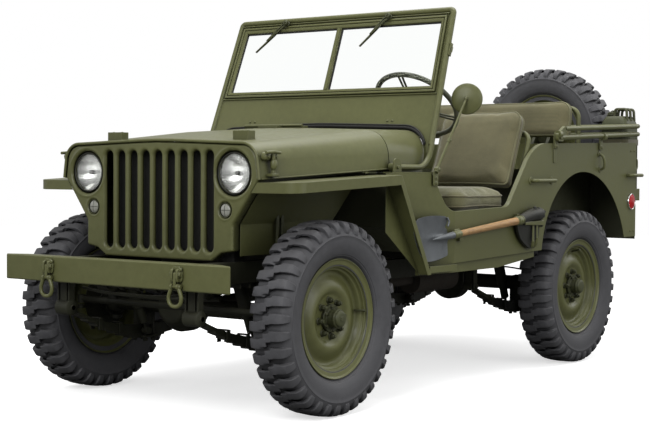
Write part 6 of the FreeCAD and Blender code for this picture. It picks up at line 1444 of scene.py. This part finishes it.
def spring_ends():
    """Bushes, side plates and nuts of the springs' ends, clips on the leaves and U-bolts at the axles."""
    b = Build()
    for side in (1, -1):
        x = SPRING_X * side
        for y in (-450, 450, WHEELBASE - 485, WHEELBASE + 485):
            if y == -450:
                b.lathe([(-40, 0), (-40, 17), (-37, 25), (-34, 31), (34, 31), (37, 25), (40, 17), (40, 0)],
                        (x, y, 394), "X", 40)
                b.drum((x, y, 394), "X", 44, 13, 20)
            for low, high in ((x - 34, x - 26), (x + 26, x + 34)):
                arm = rounded([(y - 17, 378, 12), (y + 17, 378, 12), (y + 15, 500, 8), (y - 15, 500, 8)], 16)
                b.prism(arm, "X", low, high, 1.5)
            b.bolt((x + 34, y, 394), "X", 22, 10)
            b.bolt((x - 34, y, 394), OUT[-1], 22, 10)
        for middle, half in ((0, 450), (WHEELBASE, 485)):
            for share in (-0.62, -0.36, 0.36, 0.62):
                y = middle + half * share
                z = 396 - 106 * (1 - share * share)
                for low in (x - 26, x + 22.5):
                    b.prism(rect(y - 11, z - 42, y + 11, z + 8), "X", low, low + 3.5, 1.0)
                b.tube([(x - 27, y, z + 6), (x + 27, y, z + 6)], 4.0, 8)
            for y in (middle - 24, middle + 24):
                for dx in (-31, 31):
                    b.tube([(x + dx, y, 228), (x + dx, y, 395), (x + dx * 0.8, y, 412), (x, y, 418)], 6.0, 10)
                    b.bolt((x + dx, y, 232), DOWN, 17, 12)
            b.prism(soft_rect(x - 46, middle - 44, x + 46, middle + 44, 8, step=14), "Z", 236, 246, 2.0)
    b.make("spring_ends", "chassis", "cast_metal", UNDER, matrix=CAR)


def dampers():
    """Tubular dampers slanting from the frame to the spring plates, with brake hoses by them."""
    b = Build()
    for side in (1, -1):
        for y0, y1 in ((-150, -36), (1880, 1996)):
            top, low = Vector((300 * side, y0, 540)), Vector((296 * side, y1, 268))
            run = (low - top).normalized()
            middle = top.lerp(low, 0.5)
            b.tube([top, low], 7.0, 12)
            b.lathe([(-105, 0), (-105, 24), (-100, 27), (30, 27), (33, 22), (33, 0)], middle, run, 28)
            b.lathe([(30, 0), (30, 20), (105, 20), (108, 16), (108, 0)], middle, run, 28)
            for end in (top, low):
                b.drum(end, "X", 16, 15)
                b.bolt(end + OUT[side] * 16, OUT[side], 16, 8)
    b.make("dampers", "chassis", "dark_paint", UNDER, matrix=CAR)
    h = Build()
    for side in (1, -1):
        line = smooth_path([(300 * side, -70, 520), (350 * side, -96, 500), (420 * side, -100, 470),
                            (462 * side, -84, 440), (478 * side, -60, 424)], 6)
        h.tube(line, 6.0, 10)
        for spot in (line[0], line[-1]):
            h.bolt(spot, "X", 15, 12, tone=1)
    h.tube(smooth_path([(-300, 1990, 470), (-120, 1975, 446), (40, 1970, 440), (260, 1990, 462),
                        (470, 2000, 440)], 6), 4.0, 8, tone=1)
    h.make("brake_hoses", "chassis", "tyre_rubber", SEAL, UNDER, matrix=CAR)


def engine_bay_underside():
    """Sump bolts, cross bar, rods and mounts that show between the bumper and the axle."""
    b = Build()
    for k in range(9):
        b.bolt((-150 + 36 * k, -60, 470), FORE, 13, 8)
    b.tube([(-250, -380, 494), (250, -380, 494)], 15, 16)
    for x in (-180, -90, 0, 90, 180):
        b.drum((x, -380, 494), "X", 11, 21)
        b.bolt((x, -400, 494), FORE, 14, 8)
        b.prism(rect(-398, 494, -362, 540), "X", x - 5, x + 5, 1.0)
    b.tube(smooth_path([(-330, -250, 450), (-180, -262, 440), (60, -262, 438), (300, -250, 448)], 6), 9, 12)
    b.tube(smooth_path([(-280, -420, 476), (-120, -430, 462), (120, -430, 462), (280, -420, 476)], 6), 6, 10)
    for side in (1, -1):
        at = Vector((262 * side, -300, 480))
        b.lathe([(-34, 0), (-34, 24), (-28, 32), (28, 32), (34, 24), (34, 0)], at, "X", 32)
        b.bolt(at + OUT[side] * 34, OUT[side], 24, 10)
        b.prism([(-330, 480), (-270, 480), (-262, 545), (-338, 545)], "X", 250 * side - 6, 250 * side + 6,
                1.5)
    b.make("nose_underside", "chassis", "dark_paint", UNDER, matrix=CAR)


def apron_details():
    """Bolts, stays and brackets on the inner sides of the front wheel arches."""
    b = Build()
    for side in (1, -1):
        for y in (-40, -12):
            b.tube(smooth_path([(404 * side, y, 900), (410 * side, y + 4, 800), (408 * side, y + 8, 690),
                                (400 * side, y + 12, 600)], 6), 8.5, 12)
        for y, z in ((-210, 880), (-150, 880), (-90, 878), (60, 874), (140, 870), (220, 866)):
            b.dome((393.5 * side, y, z), OUT[side], 7.0, 4.5)
        b.prism(rect(-70, 762, 26, 790), "X", *span(393, 398, side), 1.0)
        # rest strip that closes the slit below the hood's side
        b.prism([(-270, 902), (400, 941), (400, 978), (-270, 939)], "X", *span(508, 513, side), 1.0)
    b.make("apron_details", "chassis", "dark_paint", OLIVE_DARK, matrix=CAR)


# ---- The whole ----
camera()
stage()
finish_nodes()
for build_pieces in (
        wheels, grille_plate, lamps, hood_details, windscreen, seats, shovel, axe, rear_view_mirror, fuel_can,
        reflectors, tow_gear, steering_wheel, bumper, tub_fittings, dash, spring_ends, dampers,
        engine_bay_underside, apron_details):
    build_pieces()
